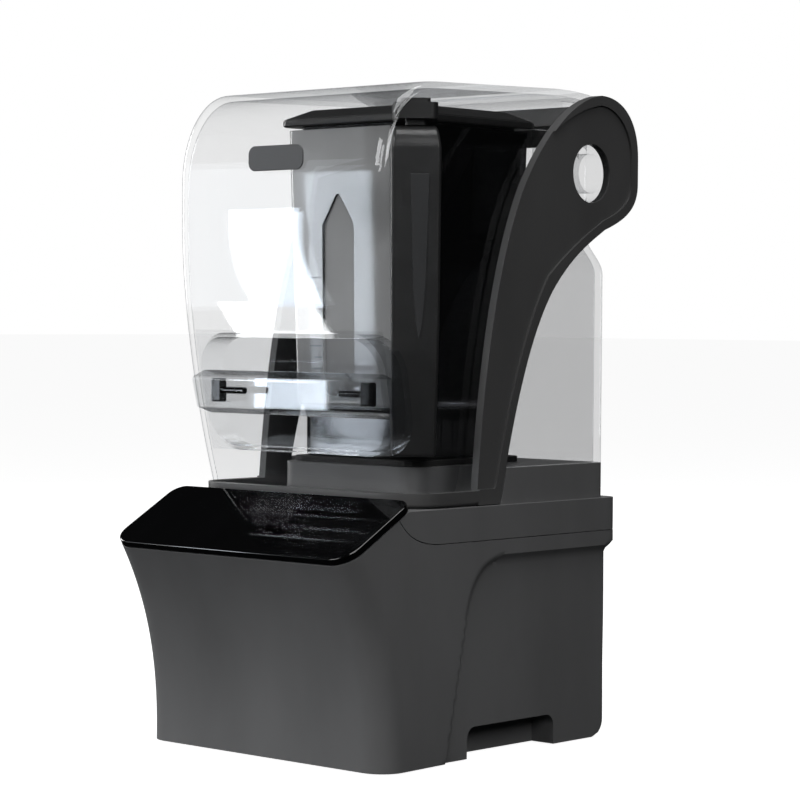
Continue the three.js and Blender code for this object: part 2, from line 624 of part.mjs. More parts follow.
function buildBladeUnit() {
  const housing = turned([
    [7.3, 206], [24, 206], [24, 234.8], [16, 235.3], [16, 243], [12, 246], [7.3, 246],
  ], 0, AXIS_Y, 24);
  add('blade_bearing_housing', housing, STEEL);
  const bearing = { lower: 207, upper: 236 };
  for (const [place, z] of Object.entries(bearing)) {
    const seat = ring(7, 4.3, z, z + 8, 0, AXIS_Y, 20);
    add(`blade_bearing_${place}`, seat, STEEL);
  }
  const shaft = turned([
    [0, 189], [7.5, 189], [8.5, 190], [8.5, 202.5], [4, 204], [4, 269], [0, 270],
  ], 0, AXIS_Y, 20);
  add('blade_shaft', shaft, STEEL);

  const wing = (length, width, lift, turn) => {
    const outline = polygon([
      [3, -width / 2], [length, -width / 2 + 4], [length + 3, width / 2], [3, width / 2],
    ]);
    const flat = prism(outline, 0, 2);
    return flat.rotate([0, lift, 0]).rotate([0, 0, turn]);
  };
  let cutter = disc(9, 0, 2, 0, 0, 20);
  for (let i = 0; i < 2; i += 1) {
    cutter = cutter.add(wing(36, 14, -24, 180 * i)).add(wing(38, 14, 12, 90 + 180 * i));
  }
  cutter = cutter.translate([0, AXIS_Y, 252]).subtract(disc(4.3, 240, 270, 0, AXIS_Y, 20));
  add('blade', cutter, STEEL);

  const nut = disc(8, 258, 264, 0, AXIS_Y, 6).subtract(disc(4.3, 250, 270, 0, AXIS_Y, 20));
  add('blade_nut', nut, STEEL);
}

function buildLid() {
  const flange = new THREE.Shape(jugOutline(LID_HALF, CHAMFER_R + 8, 8));
  const pyramid = loft([
    { z: LID_Z + 3, points: jugOutline(LID_HALF - 1.5, CHAMFER_R + 6, 7) },
    { z: LID_TOP, points: jugOutline(LID_HALF - 14, CHAMFER_R - 8, 7) },
  ]);
  const neckHalf = JUG_HALF_TOP - JUG_WALL - 3;
  const neck = loft([
    { z: 417, points: jugOutline(neckHalf - 1.5, CHAMFER_R - JUG_WALL - 5, 8) },
    { z: LID_Z + 1, points: jugOutline(neckHalf, CHAMFER_R - JUG_WALL - 3.5, 8) },
  ]);
  const hollow = loft([
    { z: 410, points: jugOutline(neckHalf - 5, CHAMFER_R - JUG_WALL - 9, 8) },
    { z: LID_TOP - 3, points: jugOutline(LID_HALF - 19, CHAMFER_R - 16, 7) },
  ]);
  const tab = prism(roundedRectangle(60, 104, -15, 15, 4), LID_Z, LID_TOP - 1)
    .add(prism(roundedRectangle(68, 100, -10, 10, 4), LID_Z, LID_TOP + 2));
  const lid = prism(flange, LID_Z, LID_Z + 5).add(pyramid).add(neck).add(atDiagonal(tab)).subtract(hollow);
  add('jug_lid', lid, LID_BLACK);

  const seal = loft([
    { z: 421, points: jugOutline(JUG_HALF_TOP - JUG_WALL - 1, CHAMFER_R - JUG_WALL - 1.5, 8) },
    { z: 426, points: jugOutline(JUG_HALF_TOP - JUG_WALL - 1, CHAMFER_R - JUG_WALL - 1.5, 8) },
  ]).subtract(loft([
    { z: 415, points: jugOutline(neckHalf + GAP, CHAMFER_R - JUG_WALL - 3.2, 8) },
    { z: 430, points: jugOutline(neckHalf + GAP, CHAMFER_R - JUG_WALL - 3.2, 8) },
  ]));
  add('lid_seal', seal, RUBBER);
}

// ---- Rear shell ------------------------------------------------------------------------------

// The arm's side view, drawn as (Y, Z).
function armShape(inset) {
  const shape = new THREE.Shape();
  shape.moveTo(-18.6 + inset, 172);
  shape.lineTo(4 - inset, 172);
  shape.bezierCurveTo(15 - inset, 222, 33 - inset, 288, 62 - inset, 321 + inset);
  shape.bezierCurveTo(82, 343 + inset, 100, 352 + inset, 117, 361.3 + inset);
  shape.bezierCurveTo(140, 369 + inset, HEAD_REAR_Y - inset, 377 + inset, HEAD_REAR_Y - inset, 395);
  shape.lineTo(HEAD_REAR_Y - inset, 413);
  shape.bezierCurveTo(HEAD_REAR_Y - inset, 440 - inset, 138 - inset, 456 - inset, 112, 456 - inset);
  shape.bezierCurveTo(74, 451 - inset, 44 + inset, 414, 28 + inset, 386);
  shape.bezierCurveTo(2 + inset, 336, -12 + inset, 262, -18.6 + inset, 172);
  return shape;
}

function rearShellBody(inset) {
  const half = PLATFORM_HALF_W - inset;
  const neck = SHELL_NECK_HALF_W - inset;
  const rear = PLATFORM_REAR_Y - inset;
  const outline = (width) => roundedPolygon(vectors([
    [-width, -30], [width, -30], [width, rear], [-width, rear],
  ]), [1, 1, PLATFORM_CORNER_R - inset, PLATFORM_CORNER_R - inset], 4);
  return loft([
    { z: PLATFORM_Z + GAP - (inset > 0 ? 1 : 0), points: outline(half) },
    { z: SHELL_NECK_Z, points: outline(half) },
    { z: SHELL_NECK_Z + 5, points: outline(half - 3) },
    { z: SHELL_NECK_Z + 15, points: outline(neck + 3) },
    { z: SHELL_NECK_Z + 20, points: outline(neck) },
    { z: SHELL_TOP + (inset > 0 ? 1 : 0), points: outline(neck) },
  ]);
}

function buildRearShell() {
  const keep = new THREE.Shape();
  keep.moveTo(200, 150);
  keep.lineTo(200, 500);
  keep.lineTo(60, 500);
  keep.lineTo(60, 352);
  keep.lineTo(117, 361.3 - 6);
  keep.bezierCurveTo(96, 346, 84, 338, 66, 320);
  keep.bezierCurveTo(37, 288, 19, 222, 9.5, 190);
  keep.lineTo(9.5, 150);
  let shell = rearShellBody(0).subtract(rearShellBody(CLEAR_WALL)).intersect(slab(keep, -200, 200, 10));
  for (const side of [-1, 1]) {
    const inner = side * (SHELL_NECK_HALF_W - CLEAR_WALL);
    const outer = side * (ARM_OUTER_X - 2.5);
    const low = Math.min(inner, outer);
    const high = Math.max(inner, outer);
    const boss = crossDisc(PIVOT_HOLE_R - 2 * GAP, low, high, PIVOT.x, PIVOT.y);
    const bore = crossDisc(PIVOT_BORE_R, low - 5, high + 5, PIVOT.x, PIVOT.y);
    shell = shell.add(boss).subtract(bore);
  }
  add('rear_shell', shell, CLEAR);
}

// ---- Hood ------------------------------------------------------------------------------------

// The front wall leans back towards its foot, and its top edge is rounded over.
function hoodFrontY(z) {
  if (z < HOOD_LEAN_Z) {
    return HOOD_FRONT_Y + HOOD_LEAN * ((HOOD_LEAN_Z - z) / HOOD_LEAN_HEIGHT) ** 1.8;
  }
  const rise = THREE.MathUtils.clamp((z - HOOD_ROUND_Z) / (HOOD_TOP_FRONT_Z - HOOD_ROUND_Z), 0, 1);
  return HOOD_FRONT_Y + HOOD_ROUND_DEPTH * (1 - Math.sqrt(1 - rise * rise));
}

const HOOD_LEVELS = [
  HOOD_FOOT_Z, 195, 218, 242, 268, 298, 330, 365, 385, 400, 413, 424, 433, 441, 447, 451, 453.5, 454.7,
];

// The side view of the gently rising top, which curves down at the rear over the crossbar.
function hoodTopProfile(inset) {
  const shape = new THREE.Shape();
  shape.moveTo(-300, 100);
  shape.lineTo(-300, HOOD_TOP_FRONT_Z - 0.05 - inset);
  shape.lineTo(HOOD_FRONT_Y + HOOD_ROUND_DEPTH, HOOD_TOP_FRONT_Z - 0.05 - inset);
  shape.lineTo(70, HOOD_TOP_REAR_Z - inset);
  shape.quadraticCurveTo(112, HOOD_TOP_REAR_Z + 0.4 - inset, 130, 451 - inset);
  shape.lineTo(130, 100);
  return slab(shape, -200, 200, 6);
}

function hoodEnvelope(inset) {
  const half = HOOD_HALF_W - inset;
  const radius = HOOD_CORNER_R - inset;
  const level = (z, frontY) => ({
    z,
    points: roundedPolygon(vectors([
      [-half, frontY + inset], [half, frontY + inset], [half, 200], [-half, 200],
    ]), [radius, radius, 1, 1], 4),
  });
  const levels = HOOD_LEVELS.map((z) => level(z - (inset > 0 ? inset : 0), hoodFrontY(z)));
  levels.push(level(470, HOOD_FRONT_Y + HOOD_ROUND_DEPTH));
  return loft(levels).intersect(hoodTopProfile(inset));
}

const POCKET = { halfW: 85, z0: 208, z1: 284, radius: 24, backLowY: -64, backHighY: -77 };
const POCKET_BACK_SLOPE = (POCKET.backHighY - POCKET.backLowY) / (POCKET.z1 - POCKET.z0);

// The pocket's back wall leans with the hood's front.
function pocketBlock(grow, frontY) {
  const half = POCKET.halfW + grow;
  const outline = roundedRectangle(-half, half, POCKET.z0 - grow, POCKET.z1 + grow, POCKET.radius + grow, 5);
  const low = POCKET.z0 - 20;
  const high = POCKET.z1 + 20;
  const backY = (z) => POCKET.backLowY + grow + POCKET_BACK_SLOPE * (z - POCKET.z0);
  const side = polygon([[-200, low], [backY(low), low], [backY(high), high], [-200, high]]);
  return frontPlate(outline, frontY, -40).intersect(slab(side, -200, 200, 1));
}

function buildHoodShell() {
  const outer = hoodEnvelope(0);
  const inner = hoodEnvelope(CLEAR_WALL);
  const pocketWall = pocketBlock(3, -130).intersect(outer);
  const sideTrim = new THREE.Shape();
  sideTrim.moveTo(-12, 100);
  sideTrim.bezierCurveTo(-6, 262, 10, 336, 40, 380);
  sideTrim.lineTo(78, 440);
  sideTrim.lineTo(78, 450.5);
  sideTrim.lineTo(200, 450.5);
  sideTrim.lineTo(200, 100);
  const shell = outer.subtract(inner).subtract(slab(sideTrim, -200, 200)).add(pocketWall)
    .subtract(pocketBlock(0, -140));
  add('hood_shell', shell, CLEAR);
}

function buildGripBar() {
  const section = polygon([[-98.5, 235], [-84, 230.5], [-80, 234], [-80, 257], [-91, 261], [-104, 256]]);
  let bar = slab(section, -POCKET.halfW + GAP, POCKET.halfW - GAP, 4);
  for (const [side, x] of [['left', -75.5], ['right', 67.3]]) {
    const screwBlock = (grow, rear) => box(x - grow, x + 8.2 + grow, -94 - grow, rear, 239 - grow, 255 + grow);
    add(`grip_bracket_${side}`, screwBlock(0, -87), BLACK_GLOSS);
    bar = bar.subtract(screwBlock(GAP, -79));
  }
  add('grip_bar', bar, CLEAR);
}

function buildBadge() {
  const badge = frontPlate(roundedRectangle(-26, 26, 397, 414, 6), HOOD_FRONT_Y - 1.6, HOOD_FRONT_Y - GAP);
  add('hood_badge', badge, BADGE_GREY);
}

function railSolid() {
  const outline = (inset) => roundedPolygon(vectors([
    [-ARM_OUTER_X + inset, RAIL_FRONT_Y + inset], [ARM_OUTER_X - inset, RAIL_FRONT_Y + inset],
    [ARM_OUTER_X - inset, 3.5], [-ARM_OUTER_X + inset, 3.5],
  ]), [RAIL_CORNER_R - inset, RAIL_CORNER_R - inset, 1, 1], 7);
  const innerFront = hoodFrontY(RAIL_TOP) - GAP;
  const inner = roundedPolygon(vectors([
    [-HOOD_HALF_W - GAP, innerFront], [HOOD_HALF_W + GAP, innerFront],
    [HOOD_HALF_W + GAP, 20], [-HOOD_HALF_W - GAP, 20],
  ]), [HOOD_CORNER_R, HOOD_CORNER_R, 1, 1], 4);
  const bottom = LEDGE_Z + GAP;
  return loft([
    { z: bottom, points: outline(RAIL_CHAMFER) },
    { z: bottom + RAIL_CHAMFER, points: outline(0) },
    { z: RAIL_TOP, points: outline(0) },
  ]).subtract(prism(new THREE.Shape(inner), bottom - 5, RAIL_TOP + 5));
}

function buildHoodFrame() {
  const innerX = HOOD_HALF_W + GAP;
  let frame = railSolid();
  for (const side of [-1, 1]) {
    let arm = slab(armShape(0), innerX, ARM_OUTER_X, 8)
      .subtract(slab(armShape(7), ARM_OUTER_X - 2.4, ARM_OUTER_X + 5, 8))
      .subtract(crossDisc(PIVOT_HOLE_R, 50, 150, PIVOT.x, PIVOT.y));
    arm = arm.intersect(box(0, 200, -100, 200, LEDGE_Z + GAP, 500));
    frame = frame.add(side > 0 ? arm : arm.mirror([1, 0, 0]));
  }
  const crossbar = new THREE.Shape();
  crossbar.moveTo(112, 437);
  crossbar.lineTo(142, 424);
  crossbar.lineTo(149, 428);
  crossbar.quadraticCurveTo(142, 441, 129, 445.5);
  crossbar.lineTo(112, 449.5);
  frame = frame.add(slab(crossbar, -innerX - 2, innerX + 2, 6));
  add('hood_frame', frame, FRAME);
}

// ---- Assembly --------------------------------------------------------------------------------

buildCasings();
cutRearOpenings();
buildBottomCover();
buildFeet();
buildCoverScrews();
buildControlPanel();
buildRearFittings();
buildMotor();
buildJugMat();
buildJug();
buildBladeUnit();
buildLid();
buildRearShell();
buildHoodShell();
buildGripBar();
buildBadge();
buildHoodFrame();

export default blender;
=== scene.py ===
import math

import bmesh
import bpy
from mathutils import Matrix, Vector


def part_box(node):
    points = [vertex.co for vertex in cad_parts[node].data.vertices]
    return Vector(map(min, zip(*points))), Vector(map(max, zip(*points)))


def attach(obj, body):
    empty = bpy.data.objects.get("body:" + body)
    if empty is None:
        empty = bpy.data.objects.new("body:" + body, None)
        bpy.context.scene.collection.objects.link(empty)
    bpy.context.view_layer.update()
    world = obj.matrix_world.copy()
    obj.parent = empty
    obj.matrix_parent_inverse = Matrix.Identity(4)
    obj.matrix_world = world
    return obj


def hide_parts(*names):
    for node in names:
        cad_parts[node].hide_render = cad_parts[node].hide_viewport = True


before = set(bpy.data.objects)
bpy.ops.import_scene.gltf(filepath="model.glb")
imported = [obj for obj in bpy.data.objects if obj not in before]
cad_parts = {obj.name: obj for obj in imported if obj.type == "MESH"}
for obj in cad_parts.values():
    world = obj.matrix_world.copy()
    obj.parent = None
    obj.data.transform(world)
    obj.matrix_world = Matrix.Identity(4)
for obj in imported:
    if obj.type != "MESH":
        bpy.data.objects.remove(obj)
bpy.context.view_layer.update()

# ---- Driving dimensions, in millimetres in the frame's axes -------------------------------------

MM = 0.001


def cad(node):
    """A CAD node's lowest and highest corners, in millimetres."""
    low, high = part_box(node)
    return low / MM, high / MM


GAP = 0.3
WALL = 3.2
CLEAR_WALL = 4.0
SHELL_WALL = 5.5
BASE_LOW = cad("lower_housing")[0].z
LEDGE_Z = 171.3
SEAM_Z = 148.0
PLATFORM_Z = cad("upper_housing")[1].z
BODY_HALF = 111.4
FRONT_HALF = 114.6
FRONT_Y = -119.6
FLARE = 35.8
REAR_Y = 121.3
LEDGE_REAR_Y = 131.5
PLATFORM_HALF = 106.7
PLATFORM_REAR = 121.0
PLATFORM_CORNER = 10.0
PANEL_FRONT = Vector((-155.2, 143.0))
PANEL_BACK = Vector((-91.2, 178.8))
PANEL_THICK = 5.0
PANEL_HALF = 112.2
AXIS_Y = 26.5
JUG_TOP = cad("jug_body")[1].z
JUG_LOW = cad("jug_body")[0].z
JUG_HALF_TOP = 62.4
JUG_HALF_LOW = 58.0
JUG_WALL = 3.6
CORNER_R = 72.0
LID_Z = 432.4
LID_TOP = 444.5
LID_HALF = 65.7
PIVOT = Vector((103.6, 400.8))
HOOD_HALF = 98.5
HOOD_CORNER = 9.0
HOOD_FRONT_Y = -106.0
HOOD_TOP_FRONT = 455.0
HOOD_TOP_REAR = 458.6
ROUND_Z = 390.0
ROUND_DEPTH = 47.0
ARM_OUTER = 106.7
RAIL_TOP = 181.5
RAIL_FRONT = -85.0
RAIL_CORNER = 32.0
SHELL_TOP = 430.0
NECK_HALF = 91.5
NECK_Z = 334.0


# ---- Outlines -----------------------------------------------------------------------------------

def rounded(corners, radii, steps=8):
    """A polygon with rounded corners, as a list of points with steps + 1 points at each corner."""
    points = []
    for i, corner in enumerate(corners):
        corner = Vector(corner)
        before = (Vector(corners[i - 1]) - corner).normalized()
        after = (Vector(corners[(i + 1) % len(corners)]) - corner).normalized()
        half = before.angle(after) / 2
        centre = corner + (before + after).normalized() * radii[i] / math.sin(half)
        start = corner + before * radii[i] / math.tan(half) - centre
        end = corner + after * radii[i] / math.tan(half) - centre
        turn = math.atan2(start.x * end.y - start.y * end.x, start.dot(end))
        for step in range(steps + 1):
            points.append(centre + Matrix.Rotation(turn * step / steps, 2) @ start)
    return points


def rectangle(x0, x1, y0, y1, radius, steps=8):
    """The outline of a rectangle with four rounded corners."""
    return rounded([(x0, y0), (x1, y0), (x1, y1), (x0, y1)], [radius] * 4, steps)


def bezier(start, handle_a, handle_b, end, steps=20):
    """Points along a cubic curve, leaving out its first point."""
    a, b, c, d = (Vector(p) for p in (start, handle_a, handle_b, end))
    points = []
    for step in range(1, steps + 1):
        t = step / steps
        s = 1 - t
        points.append(a * s ** 3 + b * 3 * s * s * t + c * 3 * s * t * t + d * t ** 3)
    return points


def resampled(points, spacing):
    """A closed outline with extra points, so that no side is longer than spacing."""
    dense = []
    for i, point in enumerate(points):
        after = points[(i + 1) % len(points)]
        count = max(1, math.ceil((after - point).length / spacing))
        dense += [point.lerp(after, k / count) for k in range(count)]
    return dense


def smoothstep(value, low, high):
    """0 below low, 1 above high and a smooth rise between them."""
    t = min(max((value - low) / (high - low), 0), 1)
    return t * t * (3 - 2 * t)


# ---- Mesh tools ---------------------------------------------------------------------------------

def new_piece(name, bm):
    """Turns a finished bmesh into an object of the scene, with its faces looking outwards."""
    bmesh.ops.recalc_face_normals(bm, faces=bm.faces)
    mesh = bpy.data.meshes.new(name)
    bm.to_mesh(mesh)
    bm.free()
    piece = bpy.data.objects.new(name, mesh)
    bpy.context.scene.collection.objects.link(piece)
    return piece


def loft(name, rings):
    """A closed skin through rings of equal length, each a list of (x, y, z) in millimetres."""
    bm = bmesh.new()
    rows = [[bm.verts.new(Vector(p) * MM) for p in ring] for ring in rings]
    for low, high in zip(rows, rows[1:]):
        for i in range(len(low)):
            j = (i + 1) % len(low)
            bm.faces.new((low[i], low[j], high[j], high[i]))
    bm.faces.new(list(reversed(rows[0])))
    bm.faces.new(rows[-1])
    return new_piece(name, bm)


def prism(name, outline, axis, low, high):
    """An outline pushed along an axis: drawn as (Y, Z) for X, (X, Z) for Y and (X, Y) for Z."""
    place = {
        "X": lambda p, a: (a, p[0], p[1]),
        "Y": lambda p, a: (p[0], a, p[1]),
        "Z": lambda p, a: (p[0], p[1], a),
    }[axis]
    return loft(name, [[place(p, low) for p in outline], [place(p, high) for p in outline]])


def turned(name, profile, x, y, steps=64):
    """A solid turned about the vertical through (x, y); profile is a list of (radius, z)."""
    rings = []
    for radius, z in profile:
        angles = [2 * math.pi * k / steps for k in range(steps)]
        rings.append([(x + radius * math.cos(a), y + radius * math.sin(a), z) for a in angles])
    return loft(name, rings)


def cross_disc(name, radius, x0, x1, y, z, steps=64):
    """A round bar along X, with its axis through (y, z)."""
    angles = [2 * math.pi * k / steps for k in range(steps)]
    circle = [(y + radius * math.cos(a), z + radius * math.sin(a)) for a in angles]
    return prism(name, circle, "X", x0, x1)


def bake(piece):
    """Applies the piece's modifiers to its mesh."""
    graph = bpy.context.evaluated_depsgraph_get()
    graph.update()
    baked = bpy.data.meshes.new_from_object(piece.evaluated_get(graph))
    piece.modifiers.clear()
    old = piece.data
    piece.data = baked
    bpy.data.meshes.remove(old)
    return piece


def combine(piece, others, operation):
    """Combines the piece with each of the others in turn, and removes them."""
    for other in others:
        step = piece.modifiers.new("combine", "BOOLEAN")
        step.operation = operation
        step.object = other
        step.solver = "EXACT"
        bake(piece)
        bpy.data.objects.remove(other)
    return piece


def cut(piece, *others):
    return combine(piece, others, "DIFFERENCE")


def join(piece, *others):
    return combine(piece, others, "UNION")


def keep(piece, *others):
    return combine(piece, others, "INTERSECT")


def soften(piece, width, segments=3, angle=32):
    """Merges slivers, rounds every edge sharper than angle and shades the flats flat, the rounds smooth."""
    bm = bmesh.new()
    bm.from_mesh(piece.data)
    bmesh.ops.remove_doubles(bm, verts=bm.verts, dist=0.02 * MM)
    bmesh.ops.dissolve_degenerate(bm, edges=bm.edges, dist=0.02 * MM)
    bm.to_mesh(piece.data)
    bm.free()
    if width > 0:
        bevel = piece.modifiers.new("soften", "BEVEL")
        bevel.width = width * MM
        bevel.segments = segments
        bevel.limit_method = "ANGLE"
        bevel.angle_limit = math.radians(angle)
        bevel.miter_outer = "MITER_ARC"
        bevel.use_clamp_overlap = True
        bake(piece)
    piece.data.shade_smooth()
    piece.data.set_sharp_from_angle(angle=math.radians(angle + 8))
    even = piece.modifiers.new("even", "WEIGHTED_NORMAL")
    even.keep_sharp = True
    even.weight = 100
    return bake(piece)


def settle(piece, body, slot, material, *nodes):
    """Hands a finished piece over: its body, its material and the CAD nodes it stands for; the slot argument
    is not used.
    """
    piece.data.materials.clear()
    piece.data.materials.append(material)
    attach(piece, body)
    if nodes:
        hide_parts(*nodes)
    return piece


# ---- Materials ----------------------------------------------------------------------------------

def shades(colour, spread):
    """A darker and a lighter version of a colour."""
    return [c * (1 - spread) for c in colour], [c * (1 + spread) for c in colour]


class Nodes:
    """A material's node tree, with short calls to add and link nodes."""

    def __init__(self, name):
        self.material = bpy.data.materials.new(name)
        self.material.use_nodes = True
        self.tree = self.material.node_tree
        self.tree.nodes.clear()
        self.output = self.tree.nodes.new("ShaderNodeOutputMaterial")
        self.place = self.tree.nodes.new("ShaderNodeTexCoord").outputs["Object"]

    def add(self, kind, inputs=None, **settings):
        node = self.tree.nodes.new(kind)
        for key, value in settings.items():
            setattr(node, key, value)
        for key, value in (inputs or {}).items():
            if isinstance(value, bpy.types.NodeSocket):
                self.tree.links.new(value, node.inputs[key])
            else:
                node.inputs[key].default_value = value
        return node

    def noise(self, scale, detail=3.0, stretch=(1, 1, 1)):
        mapping = self.add("ShaderNodeMapping", {"Vector": self.place, "Scale": stretch})
        cloud = self.add("ShaderNodeTexNoise", {
            "Vector": mapping.outputs["Vector"], "Scale": scale, "Detail": detail,
        })
        return cloud.outputs["Fac"]

    def span(self, value, low, high, start=0.3, end=0.7):
        """Stretches a noise value, which mostly lies from start to end, to run from low to high."""
        node = self.add("ShaderNodeMapRange", {
            "Value": value, "From Min": start, "From Max": end, "To Min": low, "To Max": high,
        })
        return node.outputs["Result"]

    def blend(self, factor, first, second):
        node = self.add("ShaderNodeMix", data_type="RGBA")
        self.tree.links.new(factor, node.inputs[0])
        node.inputs[6].default_value = (*first, 1)
        node.inputs[7].default_value = (*second, 1)
        return node.outputs[2]

    def bump(self, height, strength, distance):
        return self.add("ShaderNodeBump", {
            "Height": height, "Strength": strength, "Distance": distance * MM,
        }).outputs["Normal"]

    def finish(self, shader):
        self.tree.links.new(shader, self.output.inputs["Surface"])
        return self.material


def moulded(name, colour, roughness, grain=1.0, spread=0.12):
    """Moulded plastic: spark-eroded grain, faint flow marks and slightly uneven gloss."""
    n = Nodes(name)
    flow = n.noise(14, 4, (1, 1, 0.35))
    fine = n.noise(2600, 2)
    shade = n.blend(n.span(flow, 0, 1), *shades(colour, spread))
    gloss = n.span(n.noise(60, 3), roughness - 0.05, roughness + 0.05)
    shader = n.add("ShaderNodeBsdfPrincipled", {
        "Base Color": shade, "Roughness": gloss, "Normal": n.bump(fine, 0.16 * grain, 0.06),
        "Specular IOR Level": 0.45,
    })
    return n.finish(shader.outputs[0])


def glossy(name, colour, roughness):
    """Polished plastic with a coat, faint wiping marks and a trace of orange peel."""
    n = Nodes(name)
    smear = n.noise(35, 5, (1, 0.4, 0.4))
    shader = n.add("ShaderNodeBsdfPrincipled", {
        "Base Color": n.blend(n.span(smear, 0, 1), colour, [c * 1.5 for c in colour]),
        "Roughness": n.span(smear, roughness, roughness + 0.04),
        "Normal": n.bump(n.noise(140, 1), 0.02, 0.05),
        "Specular IOR Level": 0.5,
        "Coat Weight": 0.3,
        "Coat Roughness": 0.03,
    })
    return n.finish(shader.outputs[0])


def metal(name, colour, roughness, stretch=(1, 1, 12), scale=300):
    """Brushed or turned metal."""
    n = Nodes(name)
    brush = n.noise(scale, 4, stretch)
    shader = n.add("ShaderNodeBsdfPrincipled", {
        "Base Color": n.blend(n.span(brush, 0, 1), [c * 0.85 for c in colour], colour),
        "Roughness": n.span(brush, roughness - 0.08, roughness + 0.1),
        "Metallic": 1.0,
        "Normal": n.bump(brush, 0.1, 0.03),
    })
    return n.finish(shader.outputs[0])


def see_through(name, tint, edge_tint, shine=1.0, wave=0.05, rim=0.9):
    """Clear plastic in a thin wall: it shows what is behind through a tint, and shines more at a slant."""
    n = Nodes(name)
    ripple = n.noise(22, 2)
    normal = n.bump(ripple, wave, 0.4)
    facing = n.add("ShaderNodeLayerWeight", {"Blend": 0.5, "Normal": normal}).outputs["Facing"]
    slant = n.add("ShaderNodeMath", {0: facing, 1: 4.5}, operation="POWER").outputs[0]
    straight = 0.05 * shine
    rise = n.add("ShaderNodeMath", {0: slant, 1: rim, 2: straight}, operation="MULTIPLY_ADD").outputs[0]
    through = n.add("ShaderNodeBsdfTransparent", {"Color": n.blend(slant, tint, edge_tint)})
    mirror = n.add("ShaderNodeBsdfPrincipled", {
        "Base Color": (0.94, 0.95, 0.96, 1),
        "Roughness": n.span(ripple, 0.01, 0.03),
        "Metallic": 1.0,
        "Normal": normal,
    })
    mix = n.add("ShaderNodeMixShader", {0: rise, 1: through.outputs[0], 2: mirror.outputs[0]})
    return n.finish(mix.outputs[0])


def hazed(name, colour, haze):
    """Clear plastic dulled by fine scratches: a grey haze hides most of what is behind it."""
    n = Nodes(name)
    cloud = n.noise(12, 4, (1, 1, 0.5))
    scratch = n.noise(900, 2, (6, 6, 0.3))
    normal = n.bump(scratch, 0.02, 0.02)
    body = n.add("ShaderNodeBsdfPrincipled", {
        "Base Color": n.blend(n.span(cloud, 0, 1), *shades(colour, 0.08)),
        "Roughness": n.span(scratch, 0.015, 0.04),
        "Normal": normal,
        "Specular IOR Level": 0.5,
        "IOR": 1.5,
    })
    through = n.add("ShaderNodeBsdfTransparent", {"Color": (0.6, 0.61, 0.62, 1)})
    cover = n.span(cloud, haze - 0.03, haze + 0.03)
    mix = n.add("ShaderNodeMixShader", {0: cover, 1: through.outputs[0], 2: body.outputs[0]})
    return n.finish(mix.outputs[0])


CASING = moulded("casing_plastic", (0.139, 0.140, 0.142), 0.5)
FRAME = moulded("frame_plastic", (0.074, 0.074, 0.0745), 0.42, 0.7)
LID = moulded("lid_plastic", (0.012, 0.012, 0.0122), 0.45, 0.7)
HANDLE = moulded("handle_plastic", (0.0245, 0.0245, 0.0248), 0.34, 0.5)
INLAY = moulded("handle_inlay_rubber", (0.034, 0.035, 0.037), 0.5, 5.0, 0.35)
RUBBER = moulded("black_rubber", (0.012, 0.012, 0.012), 0.7, 1.6)
BADGE = moulded("badge_plastic", (0.066, 0.067, 0.070), 0.36, 0.5, 0.05)
PANEL = glossy("panel_gloss", (0.0008, 0.0008, 0.0009), 0.02)
BLACK = glossy("black_gloss", (0.006, 0.006, 0.006), 0.12)
COLLAR = glossy("collar_plastic", (0.010, 0.010, 0.0105), 0.03)
CLEAR = see_through("clear_plastic", (0.993, 0.994, 0.995), (0.66, 0.67, 0.68), rim=0.5)
# The hood's plastic again for the pocket's walls, with more shine and a darker tint at a slant: the darkening
# is painted shade.
POCKET_PAINTED_SHADE = see_through("pocket_painted_shade_plastic", (0.93, 0.935, 0.94), (0.30, 0.31, 0.32), 1.8)
THICK = see_through("thick_clear_plastic", (0.93, 0.935, 0.94), (0.25, 0.26, 0.27), 2.2)
SHELL = see_through("clear_shell_plastic", (0.872, 0.873, 0.875), (0.93, 0.94, 0.95), rim=0.5)
SMOKED = see_through("jug_plastic", (0.80, 0.803, 0.808), (0.35, 0.36, 0.37), 1.2)
SMOKED_FRONT = hazed("jug_front_plastic", (0.32, 0.322, 0.323), 0.9)
# Near-black see-through tint for the jug's right and rear walls only: painted shade.
PAINTED_SHADE_WALLS = see_through("jug_painted_shade_plastic", (0.10, 0.10, 0.105), (0.05, 0.05, 0.05), 0.5)
STEEL = metal("brushed_steel", (0.62, 0.63, 0.64), 0.28)
LAMINATION = metal("laminations", (0.2, 0.2, 0.21), 0.45, (0.1, 0.1, 30), 200)
COPPER = metal("copper_winding", (0.62, 0.27, 0.1), 0.35, (0.3, 0.3, 18), 220)
CAST = metal("cast_bracket", (0.45, 0.455, 0.46), 0.5, (1, 1, 1), 500)
BOARD = moulded("circuit_board", (0.012, 0.09, 0.035), 0.4, 0.6, 0.3)
NYLON = moulded("glass_filled_nylon", (0.24, 0.245, 0.24), 0.5, 1.5)
CARBON = moulded("carbon", (0.02, 0.02, 0.021), 0.6, 1.5)
INLET = moulded("inlet_plastic", (0.012, 0.012, 0.0125), 0.38, 0.8)
PRINT = moulded("printed_ink", (0.15, 0.16, 0.17), 0.5, 0.5)


# ---- Base casing --------------------------------------------------------------------------------

SLOPE = (PANEL_BACK - PANEL_FRONT).normalized()
PANEL_UP = Vector((-SLOPE.y, SLOPE.x))
ROUND_REAR = 12.0  # radius of the rear face's lower edge


def front_y(z):
    """The front face's Y at a height: it flares forward towards the panel."""
    height = min(max(z / PANEL_FRONT.y, 0), 1.02)
    return FRONT_Y - FLARE * height ** 2.4


def rear_y(z):
    """The rear face's Y at a height: rounded at the foot, and stepping out to the ledge near the top."""
    rise = min(max((z - 134) / 6, 0), 1)
    fall = max(0, ROUND_REAR - (z - BASE_LOW))
    tuck = ROUND_REAR - math.sqrt(ROUND_REAR ** 2 - fall ** 2)
    return REAR_Y + (LEDGE_REAR_Y - REAR_Y) * rise - tuck


